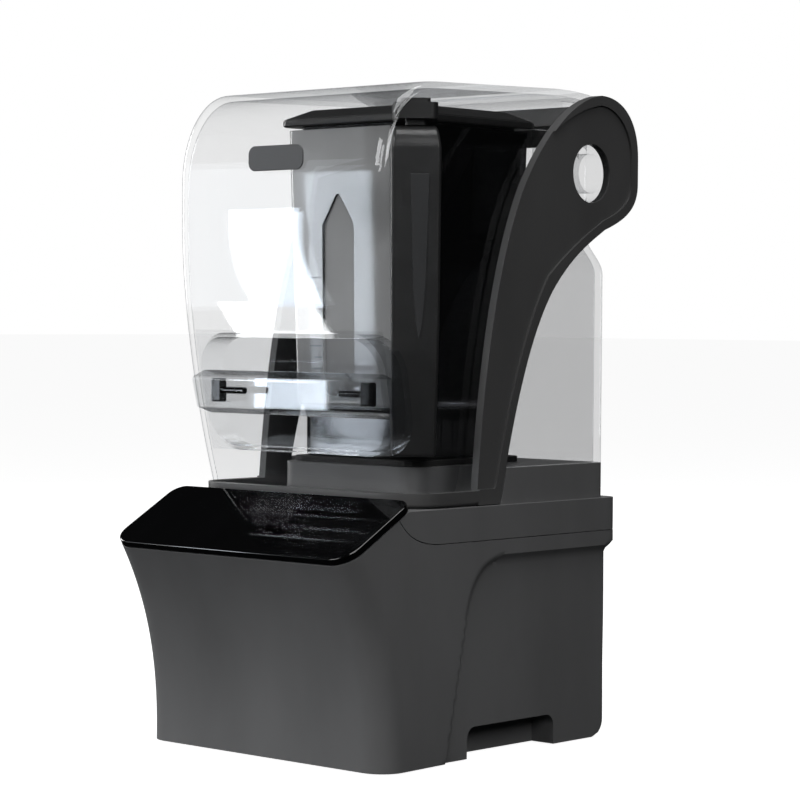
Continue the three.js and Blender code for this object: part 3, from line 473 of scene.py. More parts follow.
def casing_ring(z, inset, steps=9):
    """The casing's outline at a height, drawn in by inset."""
    front = front_y(z) + inset
    rear = rear_y(z) - inset
    front_half = FRONT_HALF - 2 * z / PANEL_FRONT.y - inset
    body_half = BODY_HALF - inset
    waist = front + 62
    corners = [
        (-front_half, front), (front_half, front), (body_half, waist),
        (body_half, rear), (-body_half, rear), (-body_half, waist),
    ]
    return rounded(corners, [18, 18, 60, 13, 13, 60], steps)


RECESS_TOP = 136.5
RECESS_X = 107.6
RECESS_EDGE = (
    [Vector((130, RECESS_TOP)), Vector((4, RECESS_TOP))]
    + bezier((4, RECESS_TOP), (-16, RECESS_TOP), (-32, 122), (-35.5, 92))
    + [Vector((-50, 23)), Vector((-57, -5))]
)


def recess_depth(y, z):
    """How far a point on the side lies inside the recess's edge, in millimetres; negative outside."""
    best = 1e9
    inside = True
    for a, b in zip(RECESS_EDGE, RECESS_EDGE[1:]):
        along = b - a
        away = Vector((y, z)) - a
        t = min(max(away.dot(along) / along.length_squared, 0), 1)
        reach = away - along * t
        if reach.length < best:
            best = reach.length
            inside = along.x * away.y - along.y * away.x > 0
    return best if inside else -best


def casing_skin(name, low, high, inset, spacing):
    """The casing's outer skin, in rings of points about spacing apart; the side recess is pressed in
    afterwards, where spacing is fine.
    """
    count = math.ceil((high - low) / spacing)
    levels = [low + (high - low) * k / count for k in range(count + 1)]
    rings = []
    for z in levels:
        ring = resampled(casing_ring(z, inset), spacing)
        rings.append([(p.x, p.y, z) for p in ring])
    shortest = min(len(ring) for ring in rings)
    even = []
    for z, ring in zip(levels, rings):
        flat = [Vector(p[:2]) for p in ring]
        even.append([(p.x, p.y, z) for p in evened(flat, shortest)])
    return loft(name, even)


def evened(points, count):
    """A closed outline walked in count equal steps, starting at its first point."""
    lengths = [0.0]
    for i, point in enumerate(points):
        lengths.append(lengths[-1] + (points[(i + 1) % len(points)] - point).length)
    total = lengths[-1]
    out = []
    at = 0
    for k in range(count):
        target = total * k / count
        while lengths[at + 1] < target:
            at += 1
        t = (target - lengths[at]) / (lengths[at + 1] - lengths[at])
        out.append(points[at].lerp(points[(at + 1) % len(points)], t))
    return out


def press_recess(piece):
    """Presses the side recess into a casing skin, with a soft edge."""
    for vertex in piece.data.vertices:
        x, y, z = vertex.co / MM
        if abs(x) > RECESS_X and y > -75:
            depth = recess_depth(y, z)
            level = RECESS_X + (abs(x) - RECESS_X) * (1 - smoothstep(depth, -1.2, 3.2))
            vertex.co.x = math.copysign(level, x) * MM


def panel_bed(name, depth):
    """Everything above the plane that lies depth under the control panel's top."""
    drop = PANEL_UP * -depth
    low = PANEL_FRONT - SLOPE * 80 + drop
    high = PANEL_BACK + drop
    return prism(name, [low, high, (high.x, 400), (low.x, 400)], "X", -200, 200)


def above_seam(name, shift):
    """Everything above the seam between the two shells, moved by shift in (Y, Z)."""
    outline = [Vector((200, SEAM_Z)), Vector((200, 400)), Vector((-106, 400)), Vector((-106, 170))]
    outline += bezier((-106, 170), (-96, 154), (-84, SEAM_Z), (-58, SEAM_Z), 24)
    return prism(name, [p + Vector(shift) for p in outline], "X", -200, 200)


NOTCH = {"front": -30.0, "rear": 62.0, "top": 22.5, "depth": 88.0}


def notch(name, grow, side):
    """The hand notch at the foot of one side, grown by a margin."""
    corners = [
        (NOTCH["front"] - grow, -10), (NOTCH["rear"] + grow, -10),
        (NOTCH["rear"] + grow, NOTCH["top"] + grow), (NOTCH["front"] - grow, NOTCH["top"] + grow),
    ]
    low, high = sorted((side * (NOTCH["depth"] - grow), side * 130))
    return prism(name, rounded(corners, [2, 2, 8, 8]), "X", low, high)


CAVITY_HALF = RECESS_X - WALL


def casing_cavity(name):
    """The hollow inside the casing, clear of the side recesses, the panel's bed and the notches."""
    rings = []
    for z in [-5 + 11 * k for k in range(16)] + [LEDGE_Z - WALL]:
        ring = casing_ring(max(z, BASE_LOW), WALL)
        rings.append([(max(-CAVITY_HALF, min(CAVITY_HALF, p.x)), p.y, z) for p in ring])
    cavity = loft(name, rings)
    cut(cavity, panel_bed("bed_roof", PANEL_THICK + GAP + WALL))
    return cut(cavity, notch("notch_wall_r", WALL, 1), notch("notch_wall_l", WALL, -1))


INLET_HALF = Vector((15.0, 11.5))
SWITCH_HALF = Vector((7.5, 11.0))


def fitting_centre(node):
    """The middle of a rear fitting, as (X, Z)."""
    low, high = cad(node)
    return Vector(((low.x + high.x) / 2, (low.z + high.z) / 2))


def around(centre, half, grow, radius):
    """A rounded rectangle about a centre, grown by a margin."""
    return rectangle(centre.x - half.x - grow, centre.x + half.x + grow,
                     centre.y - half.y - grow, centre.y + half.y + grow, radius)


def fitting_hole(name, node, half, grow, radius=2.5):
    return prism(name, around(fitting_centre(node), half, grow, radius), "Y", 100, 140)


def lower_casing():
    skin = casing_skin("casing_lower", BASE_LOW + 0.01, LEDGE_Z, 0, 2.6)
    press_recess(skin)
    cut(skin, casing_cavity("cavity"))
    cut(skin, above_seam("over_seam", (0, 0)))
    cut(skin, panel_bed("bed", PANEL_THICK + GAP))
    cut(skin, notch("notch_r", 0, 1), notch("notch_l", 0, -1))
    cut(skin, fitting_hole("hole_inlet", "inlet_socket", INLET_HALF, GAP))
    cut(skin, fitting_hole("hole_switch", "switch_frame", SWITCH_HALF, GAP))
    soften(skin, 0.7, 2, 40)
    return settle(skin, "base", "casing", CASING, "lower_housing")


STEP_HALF = 64.0
STEP_FRONT = -38.0


def platform(name, inset, low, high):
    """The raised platform with its slanted front, and the step before it that carries the jug."""
    front_low = 4.6 + inset
    slant = 6.1
    rear = rounded([
        (-PLATFORM_HALF + inset, front_low), (PLATFORM_HALF - inset, front_low),
        (PLATFORM_HALF - inset, PLATFORM_REAR - inset), (-PLATFORM_HALF + inset, PLATFORM_REAR - inset),
    ], [2, 2, PLATFORM_CORNER, PLATFORM_CORNER])
    block = prism(name, rear, "Z", low, high)
    front_high = front_low + slant
    wedge = [
        (front_low - 80, LEDGE_Z - 60), (front_low, LEDGE_Z - 60), (front_low, LEDGE_Z),
        (front_high, PLATFORM_Z), (front_high, PLATFORM_Z + 60), (front_low - 80, PLATFORM_Z + 60),
    ]
    cut(block, prism("wedge", wedge, "X", -200, 200))
    step = rectangle(-STEP_HALF + inset, STEP_HALF - inset, STEP_FRONT + inset, 40, 14)
    return join(block, prism("step", step, "Z", low, high))


def upper_casing():
    skin = casing_skin("casing_upper", 140, LEDGE_Z, 0, 4.0)
    keep(skin, above_seam("over_seam", (GAP, 0.5)))
    cut(skin, panel_bed("bed", PANEL_THICK + GAP))
    join(skin, platform("platform", 0, LEDGE_Z - 1.5, PLATFORM_Z))
    cut(skin, casing_cavity("cavity"))
    cut(skin, platform("hollow", WALL, 120, PLATFORM_Z - WALL))
    cut(skin, turned("socket_hole", [(26, 150), (26, 220)], 0, AXIS_Y, 96))
    soften(skin, 0.9, 3, 40)
    return settle(skin, "base", "casing", CASING, "upper_housing")


def touch_panel():
    """The sloped gloss panel, drawn flat and laid along the slope."""
    length = (PANEL_BACK - PANEL_FRONT).length
    half = PANEL_HALF
    outline = rounded([(-half, 0), (half, 0), (half, length), (-half, length)], [17, 17, 11, 11], 12)

    def place(point, depth):
        spot = PANEL_FRONT + SLOPE * point.y - PANEL_UP * depth
        return (point.x, spot.x, spot.y)

    rings = [[place(p, depth) for p in outline] for depth in (PANEL_THICK, 0)]
    panel = loft("touch_panel", rings)
    soften(panel, 1.0, 4, 40)
    return settle(panel, "base", "panel_gloss", PANEL, "control_panel")


# ---- Rear fittings ------------------------------------------------------------------------------

def inlet():
    """The mains inlet: a flanged moulding with a six-sided cavity and three pins."""
    centre = fitting_centre("inlet_socket")
    body = prism("inlet_moulding", around(centre, INLET_HALF, 0, 2.5), "Y", 100, REAR_Y + 1)
    join(body, prism("flange", around(centre, INLET_HALF, 4, 4), "Y", REAR_Y + GAP, REAR_Y + 2.3))
    corners = [(-12, -8.5), (12, -8.5), (12, 3.5), (7, 8.5), (-7, 8.5), (-12, 3.5)]
    cavity = rounded([centre + Vector(corner) for corner in corners], [1.5] * 6, 4)
    cut(body, prism("cavity", cavity, "Y", REAR_Y - 14, REAR_Y + 5))
    soften(body, 0.6, 3, 40)
    settle(body, "base", "switch_gloss", INLET, "inlet_socket")
    for number, place in enumerate(((-7, -3), (0, 2.5), (7, -3))):
        x, z = centre + Vector(place)
        outline = rectangle(x - 1, x + 1, z - 2, z + 2, 0.4, 3)
        pin = prism(f"inlet_pin_{number + 1}", outline, "Y", REAR_Y - 14.2, REAR_Y - 2)
        soften(pin, 0.3, 2, 40)
        settle(pin, "base", "steel", STEEL)


def power_switch():
    """The switch's frame and its rocker, which has a hollowed face."""
    centre = fitting_centre("switch_frame")
    body = prism("switch_moulding", around(centre, SWITCH_HALF, 0, 1.5), "Y", REAR_Y - 18, REAR_Y + 1)
    join(body, prism("bezel", around(centre, SWITCH_HALF, 2.5, 3), "Y", REAR_Y + GAP, REAR_Y + 2))
    cut(body, prism("pocket", around(centre, SWITCH_HALF, -1.5, 1), "Y", REAR_Y - 12, REAR_Y + 5))
    soften(body, 0.5, 3, 40)
    settle(body, "base", "switch_gloss", BLACK, "switch_frame")

    low, high = cad("power_rocker")
    tip = high.y
    middle = centre.y
    outline = [Vector((REAR_Y - 6, middle - 6.5)), Vector((tip, middle - 8))]
    hollow = ((tip, middle - 8), (tip - 2.2, middle - 2), (tip - 2.2, middle + 2), (tip, middle + 8))
    outline += bezier(*hollow, 16)
    outline += [Vector((REAR_Y - 6, middle + 6.5))]
    rocker = prism("rocker", outline, "X", low.x, high.x)
    soften(rocker, 0.5, 3, 40)
    settle(rocker, "switch", "switch_gloss", BLACK, "power_rocker")


# ---- Jug ----------------------------------------------------------------------------------------

def jug_outline(half, corner, radius=9.0, steps=8):
    """A square about the jug's axis with its front right corner cut off at distance corner."""
    reach = corner * math.sqrt(2) - half
    corners = [
        (-half, AXIS_Y - half), (reach, AXIS_Y - half), (half, AXIS_Y - reach),
        (half, AXIS_Y + half), (-half, AXIS_Y + half),
    ]
    return rounded(corners, [radius, radius * 0.7, radius * 0.7, radius, radius], steps)


def jug_ring(z, half, corner, radius=9.0):
    return [(p.x, p.y, z) for p in jug_outline(half, corner, radius)]


def jug_half(z):
    """Half the jug's width at a height: it tapers towards its foot."""
    return JUG_HALF_LOW + (JUG_HALF_TOP - JUG_HALF_LOW) * (z - JUG_LOW) / (JUG_TOP - JUG_LOW)


def jug_corner(z):
    """How far the cut corner lies from the jug's axis at a height."""
    return CORNER_R - 3 * (JUG_TOP - z) / (JUG_TOP - JUG_LOW)


def flute(name, side_x, tip_z):
    """A shallow spear-shaped recess with a slanted floor, pressed into the jug's front face."""
    half = 15.0
    low = JUG_LOW + 8
    shoulder = tip_z - 23
    outline = [
        Vector((side_x - half - 1, low)), Vector((side_x + half - 1, low)), Vector((side_x + half, shoulder)),
        Vector((side_x, tip_z)), Vector((side_x - half, shoulder)),
    ]
    spear = prism(name, rounded(outline, [6, 6, 3, 2.5, 3], 6), "Y", -60, -20)
    rings = []
    for z in (low - 10, tip_z + 10):
        face = AXIS_Y - jug_half(z)
        rings.append([(side_x - half - 3, face + 2.3, z), (side_x + half + 3, face + 0.5, z),
                      (side_x + half + 3, face - 20, z), (side_x - half - 3, face - 20, z)])
    return keep(spear, loft("trough", rings))


def jug_glass():
    """The jug in smoked plastic, hazed on its front; its right and rear walls take a near-black tint, painted
    shade.
    """
    levels = [JUG_LOW + (JUG_TOP - JUG_LOW) * k / 12 for k in range(13)]
    outer = [jug_ring(z, jug_half(z), jug_corner(z)) for z in levels]
    outer[0:1] = [jug_ring(JUG_LOW, jug_half(JUG_LOW) - 2.5, jug_corner(JUG_LOW) - 2.5, 7.5),
                  jug_ring(JUG_LOW + 0.8, jug_half(JUG_LOW) - 0.8, jug_corner(JUG_LOW) - 0.8, 8.5),
                  jug_ring(JUG_LOW + 3, jug_half(JUG_LOW + 3), jug_corner(JUG_LOW + 3))]
    jug = loft("jug_glass", outer)
    bottom = [(JUG_LOW + 4.8, 12), (JUG_LOW + 6, 8), (JUG_LOW + 10, 4.5), (JUG_LOW + 18, 1)]
    inner = []
    for z, more in bottom:
        draw = JUG_WALL + more
        inner.append(jug_ring(z, jug_half(z) - draw, jug_corner(z) - draw, max(6, 11 - more / 2)))
    for z in levels[2:]:
        inner.append(jug_ring(z, jug_half(z) - JUG_WALL, jug_corner(z) - JUG_WALL, 7))
    inner.append(jug_ring(JUG_TOP + 1, jug_half(JUG_TOP) - JUG_WALL, jug_corner(JUG_TOP) - JUG_WALL, 7))
    cut(jug, loft("jug_hollow", inner))
    cut(jug, turned("seat", [(16.3, 200), (16.3, 260)], 0, AXIS_Y, 64))
    cut(jug, flute("flute", -11, 386))
    soften(jug, 0.7, 3, 40)
    settle(jug, "jug", "smoked", SMOKED, "jug_body")
    # Slot 1 is the near-black tint on the right and rear walls, painted shade; slot 2 is the hazed front.
    jug.data.materials.append(PAINTED_SHADE_WALLS)
    jug.data.materials.append(SMOKED_FRONT)
    rear = (AXIS_Y + JUG_HALF_LOW - JUG_WALL - 4) * MM
    right = 18 * MM
    front = (AXIS_Y - JUG_HALF_LOW + 3.5) * MM
    for polygon in jug.data.polygons:
        if abs(polygon.normal.y) > 0.8 and polygon.center.y > rear:
            polygon.material_index = 1
        elif abs(polygon.normal.x) > 0.35 and polygon.center.x > right:
            polygon.material_index = 1
        elif polygon.normal.y < -0.9 and polygon.center.y < front:
            polygon.material_index = 2
    return jug


def jug_ticks():
    """Plain tick marks on the jug's front face, with no figures."""
    for number in range(9):
        z = 262 + number * 8
        y = AXIS_Y - jug_half(z) - 0.15
        length = 11 if number % 2 == 0 else 7
        outline = rectangle(-28 - length, -28, z - 0.45, z + 0.45, 0.3, 3)
        tick = prism(f"jug_tick_{number + 1}", outline, "Y", y, y + 0.3)
        settle(tick, "jug", "lid_black", PRINT)


def jug_collar():
    """The black foot of the jug, with finger flutes on both sides."""
    low, high = cad("jug_collar")
    half = high.x
    levels = [
        (low.z, 1.2), (low.z + 0.8, 0.3), (low.z + 2, 0),
        (high.z - 8, 0), (high.z - 1, -1.5), (high.z, -1.2),
    ]
    collar = loft("jug_collar_moulding", [jug_ring(z, half - inset, 62 - inset) for z, inset in levels])
    hollow = [jug_ring(z, half - 4, 58) for z in (low.z - 1, high.z - 6)]
    cut(collar, loft("collar_hollow", hollow))
    cut(collar, turned("collar_hole", [(24.3, 190), (24.3, 260)], 0, AXIS_Y, 64))
    for side in (-1, 1):
        for row in range(5):
            y = AXIS_Y - 24 + row * 12
            low_x, high_x = sorted((side * (half - 0.9), side * (half + 4)))
            slot = rectangle(y - 2, y + 2, low.z + 6, high.z - 8, 2, 6)
            cut(collar, prism("flute", slot, "X", low_x, high_x))
    soften(collar, 0.6, 3, 40)
    settle(collar, "jug", "lid_black", COLLAR, "jug_collar")


DIAGONAL = Matrix.Translation((0, AXIS_Y * MM, 0)) @ Matrix.Rotation(-math.pi / 4, 4, "Z")


def handle_piece():
    """The corner handle and its rubber inlay, drawn along X and turned to the jug's cut corner."""
    top = cad("jug_handle")[1].z
    bottom = cad("jug_handle")[0].z
    inner = 94.0
    outer = 109.0
    half = 17.0
    face = CORNER_R + 0.8
    outline = [Vector((face, top)), Vector((face, top - 30))]
    outline += bezier((face, top - 30), (inner - 6, top - 31), (inner, top - 38), (inner, top - 52), 14)
    outline += [Vector((inner - 4, 268))]
    outline += bezier((inner - 4, 268), (inner - 5, 254), (inner - 10, 246), (face, 244), 14)
    outline += [
        Vector((face, 237)), Vector((66.5, 233)), Vector((66.5, bottom)),
        Vector((outer - 8, bottom)), Vector((outer - 4, 250)), Vector((outer, top - 16)),
    ]
    outline += bezier((outer, top - 16), (outer, top - 5), (outer - 5, top), (outer - 16, top), 12)
    handle = prism("handle_moulding", outline, "Y", -half, half)
    taper = [(-half - 5, bottom - 10), (-half - 5, top + 10), (-half + 4, top + 10), (-half, top - 16),
             (-half + 0.5, 300), (-half + 2.5, bottom - 10)]
    for side in (-1, 1):
        cut(handle, prism("taper", [(side * y, z) for y, z in taper], "X", 60, 130))
    soften(handle, 2.6, 5, 42)
    handle.data.transform(DIAGONAL)
    settle(handle, "jug", "handle_black", HANDLE, "jug_handle")

    inlay = [Vector((-6.5, 395)), Vector((6.5, 395)), Vector((4.5, 325))]
    inlay += bezier((4.5, 325), (3.2, 300), (2, 290), (0, 284), 8)
    inlay += bezier((0, 284), (-2, 290), (-3.2, 300), (-4.5, 325), 8)
    lean = math.atan2(4, top - 14 - 250)
    strip = prism("handle_inlay", inlay, "X", 0, 1.2)
    for vertex in strip.data.vertices:
        x, y, z = vertex.co / MM
        vertex.co = Vector((outer + x - 0.7 + (z - (top - 16)) * math.tan(lean), y + 2.5, z)) * MM
    soften(strip, 0.3, 2, 42)
    strip.data.transform(DIAGONAL)
    settle(strip, "jug", "rubber", INLAY, "handle_grip")


def lid():
    """The lid: a flat rim, a sloped roof, a neck inside the jug and a tab over the handle."""
    rim = [(0, 0.8), (0.6, 0.1), (1.2, 0), (4, 0), (4.7, 0.3), (5, 1)]
    rim_rings = [jug_ring(LID_Z + up, LID_HALF - inset, CORNER_R + 8 - inset) for up, inset in rim]
    top = loft("lid_moulding", rim_rings)
    roof = [(LID_Z + 3, 1.5, 6), (LID_Z + 5.5, 1.7, 5.8), (LID_TOP - 1, 13, -7), (LID_TOP, 15, -9)]
    roof_rings = [jug_ring(z, LID_HALF - inset, CORNER_R + more, 7) for z, inset, more in roof]
    join(top, loft("lid_roof", roof_rings))
    neck_half = JUG_HALF_TOP - JUG_WALL - 3
    neck = [jug_ring(417, neck_half - 1.5, CORNER_R - JUG_WALL - 5, 8),
            jug_ring(LID_Z + 1, neck_half, CORNER_R - JUG_WALL - 3.5, 8)]
    join(top, loft("lid_neck", neck))
    block = prism("lid_block", rectangle(60, 104, -15, 15, 5), "Z", LID_Z, LID_TOP - 1)
    join(block, prism("lid_tab", rectangle(68, 100, -10, 10, 3), "Z", LID_Z, LID_TOP + 2))
    join(block, prism("lid_post", rectangle(88, 98, -7, 7, 2), "Z", LID_Z - 4, LID_Z + 2))
    block.data.transform(DIAGONAL)
    join(top, block)
    hollow = [jug_ring(410, neck_half - 5, CORNER_R - JUG_WALL - 9, 8),
              jug_ring(LID_TOP - 3, LID_HALF - 19, CORNER_R - 16, 7)]
    cut(top, loft("lid_hollow", hollow))
    soften(top, 0.7, 3, 40)
    settle(top, "lid", "lid_black", LID, "jug_lid")


# ---- Rear shell ---------------------------------------------------------------------------------

def shell_rings(inset):
    """The rear shell's outlines, which draw in smoothly to pass between the arms."""
    rear = PLATFORM_REAR - inset
    levels = [PLATFORM_Z + GAP - (1 if inset else 0)]
    levels += [NECK_Z - 26 + 3 * k for k in range(22)]
    levels += [SHELL_TOP + (1 if inset else 0)]
    rings = []
    for z in levels:
        draw = smoothstep(z, NECK_Z - 4, NECK_Z + 24)
        half = PLATFORM_HALF + (NECK_HALF - PLATFORM_HALF) * draw - inset
        outline = rounded([(-half, -30), (half, -30), (half, rear), (-half, rear)],
                          [1, 1, PLATFORM_CORNER - inset, PLATFORM_CORNER - inset], 10)
        rings.append([(p.x, p.y, z) for p in outline])
    return rings


def rear_shell():
    """The clear shell behind the jug, with a round boss on each side for the hood's hinge."""
    shell = loft("rear_shell_clear", shell_rings(0))
    cut(shell, loft("shell_hollow", shell_rings(SHELL_WALL)))
    side = [Vector((200, 150)), Vector((200, 500)), Vector((60, 500)), Vector((60, 352))]
    side += [Vector((117, 355.3))]
    side += bezier((117, 355.3), (96, 346), (84, 338), (66, 320), 16)
    side += bezier((66, 320), (37, 288), (19, 222), (9.5, 190), 24)
    side += [Vector((9.5, 150))]
    keep(shell, prism("shell_side", side, "X", -200, 200))
    for facing in (-1, 1):
        low, high = sorted((facing * (NECK_HALF - CLEAR_WALL), facing * (ARM_OUTER - 2.5)))
        join(shell, cross_disc("boss", 20.2, low, high, PIVOT.x, PIVOT.y, 96))
        cut(shell, cross_disc("bore", 14, low - 5, high + 5, PIVOT.x, PIVOT.y, 96))
    soften(shell, 0.8, 3, 40)
    settle(shell, "base", "clear", SHELL, "rear_shell")


# ---- Hood ---------------------------------------------------------------------------------------

def hood_y(z):
    """The hood's front Y at a height: it leans back below and rounds over to the top above."""
    if z < 365:
        return HOOD_FRONT_Y + 27.2 * ((365 - z) / 170) ** 1.8
    rise = min(max((z - ROUND_Z) / (HOOD_TOP_FRONT - ROUND_Z), 0), 1)
    return HOOD_FRONT_Y + ROUND_DEPTH * (1 - math.sqrt(1 - rise * rise))


HOOD_LEVELS = [173 + 12 * k for k in range(18)] + [
    ROUND_Z + (HOOD_TOP_FRONT - ROUND_Z) * math.sin(math.pi / 2 * k / 20) for k in range(1, 20)
] + [HOOD_TOP_FRONT - 0.06]


def hood_envelope(name, inset):
    """The hood as one solid block, drawn in by inset."""
    half = HOOD_HALF - inset
    radius = HOOD_CORNER - inset
    rings = []
    for level in HOOD_LEVELS + [470]:
        z = level - (inset if level < 470 else 0)
        y = hood_y(level) + inset
        corners = [(-half, y), (half, y), (half, 200), (-half, 200)]
        rings.append([(p.x, p.y, z) for p in rounded(corners, [radius, radius, 1, 1], 10)])
    body = loft(name, rings)
    top = HOOD_TOP_FRONT - 0.05 - inset
    profile = [Vector((-300, 100)), Vector((-300, top)), Vector((HOOD_FRONT_Y + ROUND_DEPTH, top)),
               Vector((70, HOOD_TOP_REAR - inset))]
    profile += bezier((70, HOOD_TOP_REAR - inset), (96, HOOD_TOP_REAR + 0.2 - inset),
                      (116, 456.6 - inset), (130, 451 - inset), 14)
    profile += [Vector((130, 100))]
    return keep(body, prism("hood_top", profile, "X", -200, 200))


POCKET = {
    "half": 85.0, "low": 208.0, "high": 284.0, "radius": 24.0, "back_low": -64.0, "back_high": -77.0,
}


def pocket(name, grow, start):
    """The pocket behind the grip bar; its back wall leans with the hood's front."""
    half = POCKET["half"] + grow
    low = POCKET["low"] - grow
    high = POCKET["high"] + grow
    block = prism(name, rectangle(-half, half, low, high, POCKET["radius"] + grow, 14), "Y", start, -40)
    margin = 20
    slope = (POCKET["back_high"] - POCKET["back_low"]) / (POCKET["high"] - POCKET["low"])
    side_low = POCKET["low"] - margin
    side_high = POCKET["high"] + margin
    back_low = POCKET["back_low"] + grow - slope * margin
    back_high = POCKET["back_high"] + grow + slope * margin
    side = [(-200, side_low), (back_low, side_low), (back_high, side_high), (-200, side_high)]
    return keep(block, prism("lean", side, "X", -200, 200))


def hood():
    """The clear hood with its pocket; the pocket's walls take a plastic with stronger edges, whose darker
    slant tint is painted shade that outlines the pocket.
    """
    shell = hood_envelope("hood_clear", 0)
    wall = keep(pocket("pocket_wall", 3, -130), hood_envelope("hood_outer", 0))
    cut(shell, hood_envelope("hood_inner", CLEAR_WALL))
    trim = [Vector((-12, 100))] + bezier((-12, 100), (-6, 262), (10, 336), (40, 380), 28)
    trim += [Vector((78, 440)), Vector((78, 450.5)), Vector((200, 450.5)), Vector((200, 100))]
    cut(shell, prism("side_trim", trim, "X", -200, 200))
    join(shell, wall)
    cut(shell, pocket("pocket_hollow", 0, -140))
    soften(shell, 1.4, 4, 38)
    settle(shell, "hood", "clear", CLEAR, "hood_shell")
    # The pocket's walls take the copy that darkens at a slant, painted shade.
    shell.data.materials.append(POCKET_PAINTED_SHADE)
    for polygon in shell.data.polygons:
        x, y, z = polygon.center / MM
        in_pocket = POCKET["low"] - 4 < z < POCKET["high"] + 4 and abs(x) < POCKET["half"] + 4
        if in_pocket and hood_y(z) + 1.5 < y < -50:
            polygon.material_index = 1


def grip():
    """The clear grip bar across the pocket, and the two black brackets that hold it from behind."""
    corners = [(-98.5, 235), (-84, 230.5), (-80, 234), (-80, 257), (-91, 261), (-104, 256)]
    low, high = cad("grip_bar")
    bar = prism("grip_bar_clear", rounded(corners, [2.4] * 6, 5), "X", low.x, high.x)
    for side, node in ((-1, "grip_bracket_left"), (1, "grip_bracket_right")):
        low, high = cad(node)
        middle = (low + high) / 2
        near = side * min(abs(low.x), abs(high.x))
        tip = near - side * 22
        rod = sorted((tip, near + side))
        hole = rectangle(low.y - GAP, -79, low.z - GAP, high.z + GAP, 1, 3)
        cut(bar, prism("pocket", hole, "X", low.x - GAP, high.x + GAP))
        cut(bar, cross_disc("rod_hole", 2.5, *rod, middle.y, middle.z, 32))
        outline = rectangle(low.y, high.y, low.z, high.z, 1.5, 4)
        block = prism(f"{node}_moulding", outline, "X", low.x, high.x)
        join(block, cross_disc("rod", 2.1, rod[0] + 0.4, rod[1], middle.y, middle.z, 32))
        soften(block, 0.5, 3, 40)
        settle(block, "hood", "switch_gloss", BLACK, node)
    soften(bar, 0.8, 3, 40)
    settle(bar, "hood", "clear", THICK, "grip_bar")


def badge():
    low, high = cad("hood_badge")
    plate = prism("badge_plate", rectangle(low.x, high.x, low.z, high.z, 6, 12), "Y", low.y, high.y)
    soften(plate, 0.7, 4, 40)
    settle(plate, "hood", "badge", BADGE, "hood_badge")


HEAD_REAR = cad("hood_frame")[1].y


def arm_outline(inset, front_inset):
    """The arm's side view as (Y, Z): up the rear edge, round the head and down the front edge."""
    i = inset
    f = front_inset
    points = [Vector((-18.6 + f, 172)), Vector((4 - i, 172))]
    points += bezier((4 - i, 172), (15 - i, 222), (33 - i, 288), (62 - i, 321 + i), 26)
    points += bezier((62 - i, 321 + i), (82, 343 + i), (100, 352 + i), (117, 361.3 + i), 18)
    rear = HEAD_REAR - i
    points += bezier((117, 361.3 + i), (140, 369 + i), (rear, 377 + i), (rear, 395), 18)
    points += [Vector((rear, 413))]
    points += bezier((rear, 413), (rear, 440 - i), (138 - i, 456 - i), (112, 456 - i), 18)
    points += bezier((112, 456 - i), (74, 451 - i), (44 + f, 414), (28 + f, 386), 22)
    points += bezier((28 + f, 386), (2 + f, 336), (-12 + f, 262), (-18.6 + f, 172), 30)[:-1]
    return points


def rail():
    """The hood frame's front rail, which the clear hood stands in."""
    def outline(inset):
        half = ARM_OUTER - inset
        front = RAIL_FRONT + inset
        radius = RAIL_CORNER - inset
        corners = [(-half, front), (half, front), (half, 3.5), (-half, 3.5)]
        return rounded(corners, [radius, radius, 1, 1], 18)

    low = LEDGE_Z + GAP
    levels = [(low, 3), (low + 1.5, 1.2), (low + 3, 0), (RAIL_TOP, 0)]
    body = loft("hood_frame_black", [[(p.x, p.y, z) for p in outline(inset)] for z, inset in levels])
    half = HOOD_HALF + GAP
    front = hood_y(RAIL_TOP) - GAP
    corners = [(-half, front), (half, front), (half, 20), (-half, 20)]
    inner = rounded(corners, [HOOD_CORNER, HOOD_CORNER, 1, 1], 10)
    return cut(body, prism("rail_hollow", inner, "Z", low - 5, RAIL_TOP + 5))


def hood_frame():
    """The one-piece black frame: the rail, the two arms with sunk faces and the rear crossbar."""
    frame_piece = rail()
    inner_x = HOOD_HALF + GAP
    floor_z = LEDGE_Z + GAP
    above_ledge = [(-100, floor_z), (200, floor_z), (200, 500), (-100, 500)]
    for side in (-1, 1):
        reach = sorted((side * inner_x, side * ARM_OUTER))
        arm = prism("arm", arm_outline(0, 0), "X", *reach)
        face = sorted((side * (ARM_OUTER - 1.9), side * (ARM_OUTER + 5)))
        hollow = [p if p.y > RAIL_TOP + 1 else Vector((p.x, RAIL_TOP + 1)) for p in arm_outline(7, -9)]
        cut(arm, prism("arm_face", hollow, "X", *face))
        cut(arm, cross_disc("hole", 20.8, reach[0] - 5, reach[1] + 5, PIVOT.x, PIVOT.y, 96))
        keep(arm, prism("above_ledge", above_ledge, "X", -150, 150))
        join(frame_piece, arm)
    bar = [Vector((112, 437)), Vector((142, 424)), Vector((149, 428))]
    bar += bezier((149, 428), (144, 437), (138, 443), (129, 445.5), 10)
    bar += [Vector((112, 449.5))]
    join(frame_piece, prism("crossbar", bar, "X", -inner_x - 2, inner_x + 2))
    soften(frame_piece, 0.8, 3, 40)
    settle(frame_piece, "hood", "frame", FRAME, "hood_frame")


# ---- Pieces whose CAD shape stays ----------------------------------------------------------------

